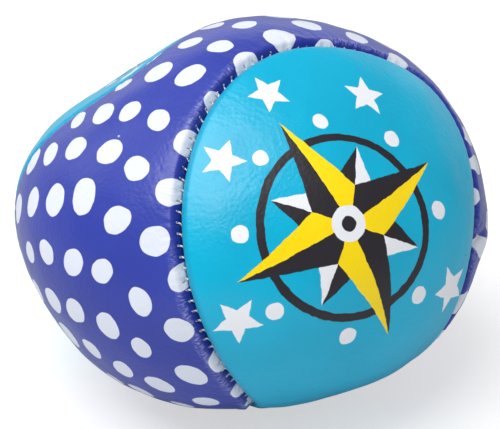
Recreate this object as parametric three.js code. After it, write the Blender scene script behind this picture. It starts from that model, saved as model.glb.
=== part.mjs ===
// A soft footbag at rest: two vinyl panels sewn edge to edge round a filling of plastic pellets.
// Millimetres, +Z up. The origin is the middle of the small flat patch that the bag rests on.
// +X points to the middle of one turquoise lobe; the dotted panel's lobes face +Y and -Y.

import * as THREE from "three";

// The bag's body
const BAG_RADIUS = 28.3;
const REST_CUT_DEPTH = 0.9;
const TALL_SHARE = -0.172;
const FULL_POLES_SHARE = 0.162;
const FULL_TOP_SHARE = 0.049;

// The filling has settled unevenly, which swells the bag in waves round a tilted rim
const RIM_AZIMUTH = THREE.MathUtils.degToRad(-52);
const RIM_ELEVATION = THREE.MathUtils.degToRad(29);
const RIM_SWELL_SHARES = [
  { waves: 1, cosine: 0.093, sine: -0.026 },
  { waves: 2, cosine: 0.026, sine: 0.029 },
  { waves: 3, cosine: -0.011, sine: 0 },
  { waves: 4, cosine: 0.003, sine: -0.013 },
  { waves: 5, cosine: -0.01, sine: 0.008 },
  { waves: 6, cosine: 0, sine: -0.004 },
];

// The seam between the two panels
const WAIST_HALF_ANGLE = THREE.MathUtils.degToRad(20);
const SEAM_SWAY_SHARES = [
  { waves: 1, cosine: -0.11, sine: -0.054 },
  { waves: 2, cosine: -0.08, sine: -0.007 },
  { waves: 3, cosine: -0.02, sine: -0.038 },
  { waves: 4, cosine: -0.01, sine: -0.04 },
  { waves: 5, cosine: -0.028, sine: -0.016 },
];
const SEAM_BEND_SHARE = 0.49;
const SEAM_BEND_AT = THREE.MathUtils.degToRad(98);
const SEAM_BEND_BEFORE = THREE.MathUtils.degToRad(28);
const SEAM_BEND_AFTER = THREE.MathUtils.degToRad(36);
const SEAM_GAP = 0.3;
const GROOVE_DEPTH = 0.9;
const GROOVE_HALF_WIDTH = 1.7;

// The panels
const PANEL_THICKNESS = 0.9;
const SEAM_ALLOWANCE = 3;

// The thread
const THREAD_DIAMETER = 0.42;
const THREAD_CLEARANCE = 0.15;
const STITCH_PITCH = 1.45;
const STITCH_HALF_WIDTH = 0.75;
const STITCH_RISE = 0.12;

// The filling
const FILLING_CLEARANCE = 0.3;
const PELLET_DIAMETER = 3.2;
const PELLET_GAP = 0.3;
const PELLET_SEAT = 0.15;
const PELLET_ROWS = 2;
const PELLETS_PER_ROW = 8;
const POCKET_MARGIN = 1.5;
const POCKET_BLEND_WIDTH = 5;

// How finely the shapes are sampled
const SEAM_SAMPLES = 80;
const STITCH_STEPS = 4;
const THREAD_SIDES = 4;
const SEAM_MEASURE_STEPS = 960;
const MIDLINE_END_ANGLE = THREE.MathUtils.degToRad(112);
const MIDLINE_EVEN_SHARE = 0.3;
const EDGE_RING_SHARES = [1.6, 1, 0.5];
const INNER_RING_SHARES = [0.25, 0.5, 0.75, 1];

const LOW_SEARCH_STEPS = 48;
const LOW_SEARCH_ANGLE = THREE.MathUtils.degToRad(20);

const UP = new THREE.Vector3(0, 0, 1);
const ACROSS_AXIS = new THREE.Vector3(0, 1, 0);
const RIM_RIGHT = new THREE.Vector3(-Math.sin(RIM_AZIMUTH), Math.cos(RIM_AZIMUTH), 0);
const RIM_UP = new THREE.Vector3(
  -Math.cos(RIM_AZIMUTH) * Math.sin(RIM_ELEVATION),
  -Math.sin(RIM_AZIMUTH) * Math.sin(RIM_ELEVATION),
  Math.cos(RIM_ELEVATION),
);
const LOWEST = lowestPoint();
const REST_HEIGHT = -LOWEST.z - REST_CUT_DEPTH;
const EDGE_REACH = EDGE_RING_SHARES[0] * GROOVE_HALF_WIDTH;
const THREAD_RADIUS = THREAD_DIAMETER / 2;
const PELLET_RADIUS = PELLET_DIAMETER / 2;
const PELLET_DEPTH = PANEL_THICKNESS + PELLET_GAP + PELLET_RADIUS;
const PELLET_LAYER_RADIUS = bagRadius(UP) - PELLET_DEPTH;

// Each panel starts at the end of one lobe and goes round its own side of the seam.
const TURQUOISE = {
  lobe: new THREE.Vector3(1, 0, 0),
  waist: new THREE.Vector3(0, 0, -1),
  start: Math.PI / 4,
  round: 1,
};
const DOTTED = {
  lobe: new THREE.Vector3(0, 1, 0),
  waist: new THREE.Vector3(0, 0, 1),
  start: (3 * Math.PI) / 4,
  round: -1,
};

const materials = {
  turquoise: new THREE.MeshStandardMaterial({ color: 0x00b2d9, roughness: 0.38, metalness: 0 }),
  dotted: new THREE.MeshStandardMaterial({ color: 0x4850b0, roughness: 0.4, metalness: 0 }),
  thread: new THREE.MeshStandardMaterial({ color: 0xe6edf2, roughness: 0.7, metalness: 0 }),
  pellets: new THREE.MeshStandardMaterial({ color: 0xd8d6cc, roughness: 0.5, metalness: 0 }),
};

// The sum of some waves at an angle, each with its own cosine and sine share.
function sumWaves(shares, angle) {
  return shares.reduce((sum, { waves, cosine, sine }) => {
    return sum + cosine * Math.cos(waves * angle) + sine * Math.sin(waves * angle);
  }, 0);
}

// The distance from the middle to the bag's smooth surface, along a unit direction. The settled
// terms flatten the bag and fill it out at the ends, and each leaves its average radius as it is.
function bagRadius(direction) {
  const height = direction.z;
  const settled =
    TALL_SHARE * (height ** 2 - 1 / 3) +
    FULL_POLES_SHARE * (height ** 4 - (6 * height ** 2) / 7 + 3 / 35) +
    FULL_TOP_SHARE * (height ** 3 - 0.6 * height);
  const across = direction.dot(RIM_RIGHT);
  const up = direction.dot(RIM_UP);
  const nearRim = (across ** 2 + up ** 2) ** 2;
  const swell = nearRim * sumWaves(RIM_SWELL_SHARES, Math.atan2(up, across));
  return BAG_RADIUS * (1 + settled + swell);
}

// The lowest point of the smooth surface, found in a fan of directions round straight down.
function lowestPoint() {
  const lowest = new THREE.Vector3();
  const point = new THREE.Vector3();
  for (let tilt = 0; tilt < LOW_SEARCH_STEPS; tilt += 1) {
    for (let turn = 0; turn < LOW_SEARCH_STEPS; turn += 1) {
      const polar = Math.PI - (LOW_SEARCH_ANGLE * tilt) / LOW_SEARCH_STEPS;
      point.setFromSphericalCoords(1, polar, (2 * Math.PI * turn) / LOW_SEARCH_STEPS);
      point.set(point.x, -point.z, point.y);
      point.multiplyScalar(bagRadius(point));
      if (point.z < lowest.z) {
        lowest.copy(point);
      }
    }
  }
  return lowest;
}

// The evenly drawn seam: two wide lobes joined by a waist for each panel.
function evenSeam(t) {
  const wide = (1 + Math.sin(WAIST_HALF_ANGLE)) / 2;
  const narrow = (1 - Math.sin(WAIST_HALF_ANGLE)) / 2;
  const x = wide * Math.cos(t) + narrow * Math.cos(3 * t);
  const y = wide * Math.sin(t) - narrow * Math.sin(3 * t);
  const z = Math.cos(WAIST_HALF_ANGLE) * Math.sin(2 * t);
  return new THREE.Vector3((x + y) * Math.SQRT1_2, (y - x) * Math.SQRT1_2, z).normalize();
}

function directionAlong(curve, t) {
  const step = (2 * Math.PI) / SEAM_MEASURE_STEPS;
  return curve(t + step).sub(curve(t - step)).normalize();
}

// The one place where the dotted panel bulges furthest over the turquoise one.
function seamBend(t) {
  const from = Math.atan2(Math.sin(t - SEAM_BEND_AT), Math.cos(t - SEAM_BEND_AT));
  const reach = from < 0 ? SEAM_BEND_BEFORE : SEAM_BEND_AFTER;
  return (SEAM_BEND_SHARE * (1 + Math.cos(Math.PI * Math.min(Math.abs(from) / reach, 1)))) / 2;
}

// The sewn seam wanders a little to either side of the even one, and bends in one place.
function seamDirection(t) {
  const even = evenSeam(t);
  const sideways = directionAlong(evenSeam, t).cross(even);
  return even.addScaledVector(sideways, sumWaves(SEAM_SWAY_SHARES, t) + seamBend(t)).normalize();
}

// The groove falls from the smooth surface to its full depth at the seam.
function grooveDrop(distance) {
  const share = Math.min(distance / GROOVE_HALF_WIDTH, 1);
  return (GROOVE_DEPTH * (1 + Math.cos(Math.PI * share))) / 2;
}

// A point below the smooth surface. The bag lies flat where it rests, at every depth in its wall.
function pointBelow(direction, depth) {
  const point = direction.clone().multiplyScalar(bagRadius(direction) - depth);
  point.z = Math.max(point.z, depth - REST_HEIGHT);
  return point;
}

// The unit direction that lies the given distance from the seam, on the side that faces `inside`.
function besideSeam(t, distance, inside) {
  const seam = seamDirection(t);
  const across = directionAlong(seamDirection, t).cross(seam).normalize();
  if (across.dot(inside) < 0) {
    across.negate();
  }
  const turn = distance / bagRadius(seam);
  return seam.multiplyScalar(Math.cos(turn)).addScaledVector(across, Math.sin(turn));
}

// The middle line of a panel runs from lobe to lobe through the waist.
function midlineDirection(panel, turn) {
  const even = 1 - (2 * turn) / Math.PI;
  const share = Math.cos(turn) * (1 - MIDLINE_EVEN_SHARE) + even * MIDLINE_EVEN_SHARE;
  const angle = MIDLINE_END_ANGLE * share;
  return panel.waist.clone().multiplyScalar(Math.cos(angle)).addScaledVector(panel.lobe, Math.sin(angle));
}

// How far round its panel a sample lies, from one lobe's end at zero to the other's at pi.
function sampleTurn(sample) {
  return (2 * Math.PI * Math.min(sample, SEAM_SAMPLES - sample)) / SEAM_SAMPLES;
}

function sampleSeamAngle(panel, sample) {
  return panel.start + (panel.round * 2 * Math.PI * sample) / SEAM_SAMPLES;
}

// One ring of unit directions beside the seam, at a distance from it.
function edgeRing(panel, distance) {
  return Array.from({ length: SEAM_SAMPLES }, (_, sample) => {
    const middle = midlineDirection(panel, sampleTurn(sample));
    return besideSeam(sampleSeamAngle(panel, sample), distance, middle);
  });
}

// One ring between the outermost edge ring and the middle line. At a share of 1 it is that line.
function innerRing(panel, share) {
  return edgeRing(panel, EDGE_REACH).map((edge, sample) => {
    const middle = midlineDirection(panel, sampleTurn(sample));
    return share === 1 ? middle : edge.lerp(middle, share).normalize();
  });
}

// Collects rings of points into one closed triangle mesh.
class RingMesh {
  constructor() {
    this.positions = [];
    this.indices = [];
  }

  addPoint(point) {
    this.positions.push(point.x, point.y, point.z);
    return this.positions.length / 3 - 1;
  }

  addRing(points) {
    return points.map((point) => this.addPoint(point));
  }

  // The two halves of a middle line share their points.
  addMidline(points) {
    const half = points.slice(0, SEAM_SAMPLES / 2 + 1).map((point) => this.addPoint(point));
    return points.map((_, sample) => half[Math.min(sample, SEAM_SAMPLES - sample)]);
  }

  addTriangle(a, b, c) {
    if (a !== b && b !== c && c !== a) {
      this.indices.push(a, b, c);
    }
  }

  distance(a, b) {
    const from = new THREE.Vector3().fromArray(this.positions, 3 * a);
    return from.distanceTo(new THREE.Vector3().fromArray(this.positions, 3 * b));
  }

  // Each four-sided patch is split along its shorter diagonal, so that nested walls stay apart.
  joinRings(first, second) {
    first.forEach((corner, index) => {
      const next = (index + 1) % first.length;
      if (this.distance(corner, second[next]) < this.distance(first[next], second[index])) {
        this.addTriangle(corner, first[next], second[next]);
        this.addTriangle(corner, second[next], second[index]);
      } else {
        this.addTriangle(corner, first[next], second[index]);
        this.addTriangle(first[next], second[next], second[index]);
      }
    });
  }

  joinAll(rings) {
    rings.slice(1).forEach((ring, index) => this.joinRings(rings[index], ring));
  }

  closeEnd(ring) {
    for (let index = 1; index < ring.length - 1; index += 1) {
      this.addTriangle(ring[0], ring[index + 1], ring[index]);
    }
  }

  toGeometry() {
    const geometry = new THREE.BufferGeometry();
    geometry.setAttribute("position", new THREE.Float32BufferAttribute(this.positions, 3));
    geometry.setIndex(this.indices);
    geometry.computeVertexNormals();
    return geometry;
  }
}

// A panel is a thin curved shell whose edge turns inward along the seam.
function panelGeometry(panel) {
  const mesh = new RingMesh();
  const half = SEAM_GAP / 2;
  const place = (directions, depth) => {
    return mesh.addRing(directions.map((direction) => pointBelow(direction, depth)));
  };
  const midline = (depth) =>
    mesh.addMidline(innerRing(panel, 1).map((direction) => pointBelow(direction, depth)));
  const smoothShares = INNER_RING_SHARES.slice(0, -1);
  const outside = [
    midline(0),
    ...smoothShares.toReversed().map((share) => place(innerRing(panel, share), 0)),
    ...EDGE_RING_SHARES.map((share) => {
      const distance = share * GROOVE_HALF_WIDTH;
      return place(edgeRing(panel, distance), grooveDrop(distance));
    }),
    place(edgeRing(panel, half), grooveDrop(half)),
  ];
  const turnedEdge = [
    place(edgeRing(panel, half), GROOVE_DEPTH + SEAM_ALLOWANCE),
    place(edgeRing(panel, half + PANEL_THICKNESS), GROOVE_DEPTH + SEAM_ALLOWANCE),
  ];
  const inside = [
    place(edgeRing(panel, half + PANEL_THICKNESS), grooveDrop(half + PANEL_THICKNESS) + PANEL_THICKNESS),
    place(edgeRing(panel, EDGE_REACH), PANEL_THICKNESS),
    ...smoothShares.map((share) => place(innerRing(panel, share), PANEL_THICKNESS)),
    midline(PANEL_THICKNESS),
  ];
  mesh.joinAll([...outside, ...turnedEdge, ...inside]);
  return mesh.toGeometry();
}

// The angle from straight up to the middle of the dotted waist, between its two seams.
function topMiddleAngle() {
  const crossings = [TURQUOISE.start, TURQUOISE.start + Math.PI];
  const [front, back] = crossings.map((t) => Math.asin(seamDirection(t).x));
  return (front + back) / 2;
}

// How far a pellet of a row lies from the row's middle, as an angle seen from the bag's middle.
function pelletAngle(index, count) {
  return ((index - (count - 1) / 2) * (PELLET_DIAMETER + PELLET_GAP)) / PELLET_LAYER_RADIUS;
}

// How deep below the smooth surface the filling lies; a pocket under the top holds single pellets.
function fillingDepth(direction) {
  const along = Math.abs(Math.asin(direction.y));
  const across = Math.abs(Math.atan2(direction.x, direction.z) - topMiddleAngle()) * Math.cos(along);
  const beside = Math.max(across - pelletAngle(PELLET_ROWS - 1, PELLET_ROWS), 0);
  const beyond = Math.max(along - pelletAngle(PELLETS_PER_ROW - 1, PELLETS_PER_ROW), 0);
  const outside = Math.hypot(beside, beyond) * PELLET_LAYER_RADIUS;
  const edge = PELLET_RADIUS + POCKET_MARGIN;
  const share = 1 - THREE.MathUtils.smoothstep(outside, edge, edge + POCKET_BLEND_WIDTH);
  const pocket = PELLET_DIAMETER + PELLET_GAP + PELLET_SEAT - FILLING_CLEARANCE;
  return PANEL_THICKNESS + FILLING_CLEARANCE + share * pocket;
}

// The filling fits the inside of both panels, with a slot for their turned-in edges.
function fillingGeometry() {
  const mesh = new RingMesh();
  const slotHalf = SEAM_GAP / 2 + PANEL_THICKNESS + FILLING_CLEARANCE;
  const slotDepth = GROOVE_DEPTH + SEAM_ALLOWANCE + FILLING_CLEARANCE;
  const surface = (direction, least = 0) => pointBelow(direction, Math.max(fillingDepth(direction), least));
  const side = (panel) => [
    mesh.addMidline(innerRing(panel, 1).map((direction) => surface(direction))),
    ...INNER_RING_SHARES.slice(0, -1)
      .toReversed()
      .map((share) => mesh.addRing(innerRing(panel, share).map((direction) => surface(direction)))),
    mesh.addRing(edgeRing(panel, EDGE_REACH).map((direction) => surface(direction))),
    mesh.addRing(
      edgeRing(panel, slotHalf).map((direction) =>
        surface(direction, grooveDrop(slotHalf) + PANEL_THICKNESS + FILLING_CLEARANCE),
      ),
    ),
    mesh.addRing(edgeRing(panel, slotHalf).map((direction) => surface(direction, slotDepth))),
  ];
  const turquoiseSide = side(TURQUOISE);
  const dottedSide = side(DOTTED);
  const shift = ((DOTTED.start - TURQUOISE.start) * SEAM_SAMPLES) / (2 * Math.PI);
  const aligned = dottedSide.map((ring) => {
    return ring.map((_, index) => ring[(shift - index + SEAM_SAMPLES) % SEAM_SAMPLES]);
  });
  mesh.joinAll([...turquoiseSide, ...aligned.toReversed()]);
  return mesh.toGeometry();
}

// Angles along the seam at even lengths, a few for each stitch.
function stitchStepAngles(start) {
  const lengths = [0];
  const angles = [start];
  for (let step = 1; step <= SEAM_MEASURE_STEPS; step += 1) {
    const angle = start + (2 * Math.PI * step) / SEAM_MEASURE_STEPS;
    const here = pointBelow(seamDirection(angle), 0);
    const before = pointBelow(seamDirection(angles.at(-1)), 0);
    lengths.push(lengths.at(-1) + here.distanceTo(before));
    angles.push(angle);
  }
  const seamLength = lengths.at(-1);
  const steps = Math.round(seamLength / STITCH_PITCH) * STITCH_STEPS;
  let found = 0;
  return Array.from({ length: steps }, (_, step) => {
    const wanted = (seamLength * step) / steps;
    while (lengths[found + 1] < wanted) {
      found += 1;
    }
    const share = (wanted - lengths[found]) / (lengths[found + 1] - lengths[found]);
    return angles[found] + share * (angles[found + 1] - angles[found]);
  });
}

// How high the thread's middle runs over the groove, from the smooth surface.
function threadHeight(across) {
  return THREAD_CLEARANCE + THREAD_RADIUS - grooveDrop(Math.abs(across));
}

// The thread crosses the groove on top, then returns low in it, once for each stitch. Beside the
// rest patch it is pressed up into the groove.
function threadGeometry() {
  const used = stitchStepAngles(DOTTED.start).slice(STITCH_STEPS - 1, -(STITCH_STEPS - 1));
  const path = used.map((t, step) => {
    const turn = (2 * Math.PI * (step - 1)) / STITCH_STEPS;
    const across = STITCH_HALF_WIDTH * Math.cos(turn);
    const seam = seamDirection(t);
    const along = directionAlong(seamDirection, t);
    const sideways = along.clone().cross(seam).normalize();
    const lift = Math.max(Math.sin(turn), 0) * (STITCH_RISE - threadHeight(0));
    const lean = across / bagRadius(seam);
    const direction = seam.multiplyScalar(Math.cos(lean)).addScaledVector(sideways, Math.sin(lean));
    const point = pointBelow(direction, -threadHeight(across) - lift);
    point.z = Math.max(point.z, THREAD_RADIUS + THREAD_CLEARANCE - REST_HEIGHT);
    return { point, along };
  });
  const mesh = new RingMesh();
  const rings = path.map(({ point, along }, step) => {
    const before = path[Math.max(step - 1, 0)].point;
    const after = path[Math.min(step + 1, path.length - 1)].point;
    const tangent = after.clone().sub(before).normalize();
    const side = along.clone().addScaledVector(tangent, -along.dot(tangent)).normalize();
    const up = tangent.clone().cross(side);
    return mesh.addRing(
      Array.from({ length: THREAD_SIDES }, (_, corner) => {
        const angle = (2 * Math.PI * (corner + 0.5)) / THREAD_SIDES;
        return point
          .clone()
          .addScaledVector(side, THREAD_RADIUS * Math.cos(angle))
          .addScaledVector(up, THREAD_RADIUS * Math.sin(angle));
      }),
    );
  });
  mesh.joinAll(rings);
  mesh.closeEnd(rings.at(-1).toReversed());
  mesh.closeEnd(rings[0]);
  return mesh.toGeometry();
}

function addPiece(group, name, geometry, material) {
  const piece = new THREE.Mesh(geometry, material);
  piece.name = name;
  group.add(piece);
  return piece;
}

// Single pellets lie in the pocket, in rows side by side under the middle of the dotted waist.
function addPellets(group) {
  const geometry = new THREE.IcosahedronGeometry(PELLET_RADIUS, 1);
  for (let place = 0; place < PELLET_ROWS * PELLETS_PER_ROW; place += 1) {
    const row = Math.floor(place / PELLETS_PER_ROW);
    const along = pelletAngle(place % PELLETS_PER_ROW, PELLETS_PER_ROW);
    const across = topMiddleAngle() + pelletAngle(row, PELLET_ROWS) / Math.cos(along);
    const direction = new THREE.Vector3(0, Math.sin(along), Math.cos(along)).applyAxisAngle(ACROSS_AXIS, across);
    const name = `pellet_${String(place + 1).padStart(2, "0")}`;
    addPiece(group, name, geometry, materials.pellets).position.copy(pointBelow(direction, PELLET_DEPTH));
  }
}

function buildFootbag() {
  const footbag = new THREE.Group();
  footbag.name = "footbag";
  footbag.position.set(-LOWEST.x, -LOWEST.y, REST_HEIGHT);
  addPiece(footbag, "turquoise_panel", panelGeometry(TURQUOISE), materials.turquoise);
  addPiece(footbag, "dotted_panel", panelGeometry(DOTTED), materials.dotted);
  addPiece(footbag, "seam_thread", threadGeometry(), materials.thread);
  addPiece(footbag, "pellet_filling", fillingGeometry(), materials.pellets);
  addPellets(footbag);
  return footbag;
}

export default buildFootbag();
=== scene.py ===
"""A soft footbag at rest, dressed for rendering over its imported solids.

Two printed vinyl panels, their seam thread and the plastic pellets inside are made here in metres, in
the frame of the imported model. The origin is the middle of the flat patch that the bag rests on.
"""

import itertools
import logging
import math
from dataclasses import dataclass, replace
from enum import Enum
from typing import Any, Mapping, Sequence, Union

import bpy
import numpy as np
from mathutils import Matrix, Vector
from mathutils.bvhtree import BVHTree


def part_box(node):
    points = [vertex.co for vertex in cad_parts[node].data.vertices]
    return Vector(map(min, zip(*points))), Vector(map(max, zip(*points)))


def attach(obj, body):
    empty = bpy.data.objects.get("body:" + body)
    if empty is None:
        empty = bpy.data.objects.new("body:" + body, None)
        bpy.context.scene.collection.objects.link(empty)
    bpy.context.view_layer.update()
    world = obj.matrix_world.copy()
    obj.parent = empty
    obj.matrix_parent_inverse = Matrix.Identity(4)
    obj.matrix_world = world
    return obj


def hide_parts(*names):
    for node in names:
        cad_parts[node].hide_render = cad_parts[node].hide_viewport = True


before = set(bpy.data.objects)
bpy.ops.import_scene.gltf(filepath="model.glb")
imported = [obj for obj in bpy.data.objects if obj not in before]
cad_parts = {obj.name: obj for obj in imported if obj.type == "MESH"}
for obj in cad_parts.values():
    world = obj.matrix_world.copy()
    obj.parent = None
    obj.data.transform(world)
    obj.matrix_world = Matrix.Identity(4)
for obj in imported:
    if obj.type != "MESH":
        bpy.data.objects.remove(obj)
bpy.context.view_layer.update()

LOG = logging.getLogger("footbag")
MM = 0.001
PHOTO_WIDTH = 500
PHOTO_HEIGHT = 429
ROOT = "root"

Colour = tuple[float, float, float]


def srgb(*levels: int) -> Colour:
    """Returns the linear colour of three screen levels from 0 to 255, by the sRGB standard's curve."""
    shares = [level / 255 for level in levels]
    return tuple(share / 12.92 if share <= 0.04045 else ((share + 0.055) / 1.055) ** 2.4 for share in shares)


def unit(vectors: np.ndarray) -> np.ndarray:
    """Returns the vectors at length one."""
    return vectors / np.linalg.norm(vectors, axis=-1, keepdims=True)


def smooth_share(values: np.ndarray, low: float, high: float) -> np.ndarray:
    """Returns 0 below low, 1 above high and a smooth rise between."""
    share = np.clip((values - low) / (high - low), 0, 1)
    return share * share * (3 - 2 * share)


# The bag's shape


@dataclass(frozen=True)
class Wave:
    """One wave of a closed line: how often it repeats, and its cosine and sine shares."""

    repeats: int
    cosine: float
    sine: float

    def at(self, angle: np.ndarray) -> np.ndarray:
        """Returns the wave's height at each angle."""
        return self.cosine * np.cos(self.repeats * angle) + self.sine * np.sin(self.repeats * angle)


def sum_waves(waves: Sequence[Wave], angle: np.ndarray) -> np.ndarray:
    """Returns the sum of the waves at each angle."""
    return sum(wave.at(angle) for wave in waves)


def way_from(azimuth: float, elevation: float) -> np.ndarray:
    """Returns the unit direction at an azimuth and an elevation."""
    flat = math.cos(elevation)
    return np.array([math.cos(azimuth) * flat, math.sin(azimuth) * flat, math.sin(elevation)])


@dataclass(frozen=True)
class BagBody:
    """The settled bag's smooth outer surface, in directions from the bag's own middle."""

    radius: float = 28.3 * MM
    rest_cut: float = 0.9 * MM
    # Shares of the radius by which the ball has settled, and the waves round its tilted rim
    tall_share: float = -0.172
    full_poles_share: float = 0.162
    full_top_share: float = 0.049
    rim_azimuth: float = math.radians(-52)
    rim_elevation: float = math.radians(29)
    rim_swells: tuple[Wave, ...] = (
        Wave(1, 0.093, -0.026),
        Wave(2, 0.026, 0.029),
        Wave(3, -0.011, 0.0),
        Wave(4, 0.003, -0.013),
        Wave(5, -0.01, 0.008),
        Wave(6, 0.0, -0.004),
    )
    rest_softness: float = 0.12 * MM
    search_steps: int = 48
    search_angle: float = math.radians(20)

    def reach(self, directions: np.ndarray) -> np.ndarray:
        """Returns the distance from the middle to the smooth surface along each unit direction.

        Args:
            directions: Unit directions from the middle of the bag.

        Returns:
            The distances, in metres.
        """
        height = directions[..., 2]
        # The terms for tall, for full poles and for a full top leave the volume nearly as it is.
        settled = (
            self.tall_share * (height**2 - 1 / 3)
            + self.full_poles_share * (height**4 - 6 * height**2 / 7 + 3 / 35)
            + self.full_top_share * (height**3 - 0.6 * height)
        )
        right = way_from(self.rim_azimuth + math.pi / 2, 0.0)
        upward = way_from(self.rim_azimuth, self.rim_elevation + math.pi / 2)
        across, up = directions @ right, directions @ upward
        swell = (across**2 + up**2) ** 2 * sum_waves(self.rim_swells, np.arctan2(up, across))
        return self.radius * (1 + settled + swell)

    def lowest(self) -> np.ndarray:
        """Returns the lowest point of the smooth surface, from a fan of directions round straight down.

        Returns:
            The point, from the bag's own middle.
        """
        tilt = self.search_angle * np.arange(self.search_steps)[:, None] / self.search_steps
        turn = 2 * math.pi * np.arange(self.search_steps)[None, :] / self.search_steps
        level = np.sin(tilt)
        fan = np.stack([level * np.sin(turn), -level * np.cos(turn), -np.cos(tilt) + 0 * turn], -1)
        points = fan * self.reach(fan)[..., None]
        return points.reshape(-1, 3)[points[..., 2].argmin()]

    def middle(self) -> np.ndarray:
        """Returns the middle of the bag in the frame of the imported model."""
        low = self.lowest()
        return np.array([-low[0], -low[1], -low[2] - self.rest_cut])

    def place(self, directions: np.ndarray, depth: np.ndarray) -> np.ndarray:
        """Places points below the smooth surface, flattened where the bag rests.

        Args:
            directions: Unit directions from the middle.
            depth: How far below the surface each point lies; negative is proud of it.

        Returns:
            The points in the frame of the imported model.
        """
        points = directions * (self.reach(directions) - depth)[..., None] + self.middle()
        least = np.maximum(depth, 0)
        above = points[..., 2] - least
        points[..., 2] = least + (above + np.sqrt(above**2 + self.rest_softness**2)) / 2
        return points


@dataclass(frozen=True)
class SeamLine:
    """The closed line along which the two panels are sewn, as directions from the bag's middle."""

    waist_half_angle: float = math.radians(20)
    sway: tuple[Wave, ...] = (
        Wave(1, -0.11, -0.054),
        Wave(2, -0.08, -0.007),
        Wave(3, -0.02, -0.038),
        Wave(4, -0.01, -0.04),
        Wave(5, -0.028, -0.016),
    )
    bend_share: float = 0.49
    bend_at: float = math.radians(98)
    bend_before: float = math.radians(28)
    bend_after: float = math.radians(36)
    measure_steps: int = 960
    length_steps: int = 7681
    start: float = 3 * math.pi / 4
    dotted_way: float = -1.0

    def even(self, t: np.ndarray) -> np.ndarray:
        """Returns the evenly drawn seam: two wide lobes joined by a waist for each panel.

        Args:
            t: Where along the seam, as angles from 0 to a whole turn.

        Returns:
            Unit directions.
        """
        wide = (1 + math.sin(self.waist_half_angle)) / 2
        narrow = (1 - math.sin(self.waist_half_angle)) / 2
        x = wide * np.cos(t) + narrow * np.cos(3 * t)
        y = wide * np.sin(t) - narrow * np.sin(3 * t)
        z = math.cos(self.waist_half_angle) * np.sin(2 * t)
        return unit(np.stack([(x + y) * math.sqrt(0.5), (y - x) * math.sqrt(0.5), z], -1))

    def direction(self, t: np.ndarray) -> np.ndarray:
        """Returns the sewn seam, which wanders a little to either side of the even one.

        Args:
            t: Where along the seam, as angles from 0 to a whole turn.

        Returns:
            Unit directions.
        """
        even = self.even(t)
        step = 2 * math.pi / self.measure_steps
        sideways = np.cross(unit(self.even(t + step) - self.even(t - step)), even)
        from_bend = np.remainder(t - self.bend_at + math.pi, 2 * math.pi) - math.pi
        reach = np.where(from_bend < 0, self.bend_before, self.bend_after)
        bend = self.bend_share * (1 + np.cos(math.pi * np.minimum(np.abs(from_bend) / reach, 1))) / 2
        return unit(even + sideways * (sum_waves(self.sway, t) + bend)[..., None])

    def along(self, t: np.ndarray) -> np.ndarray:
        """Returns the unit direction in which the sewn seam runs."""
        step = 2 * math.pi / self.measure_steps
        return unit(self.direction(t + step) - self.direction(t - step))

    def across(self, t: np.ndarray) -> np.ndarray:
        """Returns the unit direction square to the seam, along the surface."""
        return unit(np.cross(self.along(t), self.direction(t)))

    def beside(self, t: np.ndarray, turn: np.ndarray, inside: np.ndarray) -> np.ndarray:
        """Returns directions turned away from the seam.

        Args:
            t: Where along the seam.
            turn: The angle away from the seam.
            inside: A direction on the side to turn to, one for each place.

        Returns:
            Unit directions.
        """
        across = self.across(t)
        side = np.where(np.sum(across * inside, -1, keepdims=True) < 0, -across, across)
        return self.direction(t) * np.cos(turn)[..., None] + side * np.sin(turn)[..., None]

    def lengths(self, body: BagBody, t: np.ndarray) -> np.ndarray:
        """Returns the length along the seam from its start to each place, in metres.

        Args:
            body: The bag's smooth surface.
            t: Where along the seam, as angles from 0 to a whole turn.

        Returns:
            The lengths, in metres.
        """
        fine = self.start + np.linspace(-1, 1, self.length_steps) * 2 * math.pi
        path = body.place(self.direction(fine), np.zeros_like(fine))
        run = np.concatenate([[0], np.cumsum(np.linalg.norm(np.diff(path, axis=0), axis=1))])
        return np.interp(t, fine, run) - np.interp(self.start, fine, run)


@dataclass(frozen=True)
class Sewing:
    """The sizes of the seam: its groove, its turned edges and its stitches."""

    gap: float = 0.3 * MM
    groove_depth: float = 0.9 * MM
    groove_half_width: float = 1.3 * MM
    roll: float = 0.4 * MM
    allowance: float = 3.0 * MM
    panel_thickness: float = 0.9 * MM
    stitch_pitch: float = 1.45 * MM
    hole_distance: float = 0.42 * MM
    thread_diameter: float = 0.27 * MM

    def groove(self, distance: np.ndarray) -> np.ndarray:
        """Returns how deep the groove lies below the smooth surface at a distance from the seam.

        Args:
            distance: The distance from the seam, in metres.

        Returns:
            The depths, in metres.
        """
        share = np.minimum(distance / self.groove_half_width, 1)
        edge = np.clip((self.roll - (distance - self.gap / 2)) / self.roll, 0, 1)
        rolled = self.roll * (1 - np.sqrt(1 - edge**2))
        return self.groove_depth * (1 + np.cos(np.pi * share)) / 2 + rolled

    def stitches(self, body: BagBody, seam: SeamLine) -> int:
        """Returns how many stitches close the whole seam."""
        whole = seam.lengths(body, np.array([seam.start + 2 * math.pi]))[0]
        return round(whole / self.stitch_pitch)

    def phase(self, body: BagBody, seam: SeamLine, t: np.ndarray) -> np.ndarray:
        """Returns the place along the seam counted in stitches."""
        whole = seam.lengths(body, np.array([seam.start + 2 * math.pi]))[0]
        return seam.lengths(body, t) / whole * self.stitches(body, seam)


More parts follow.
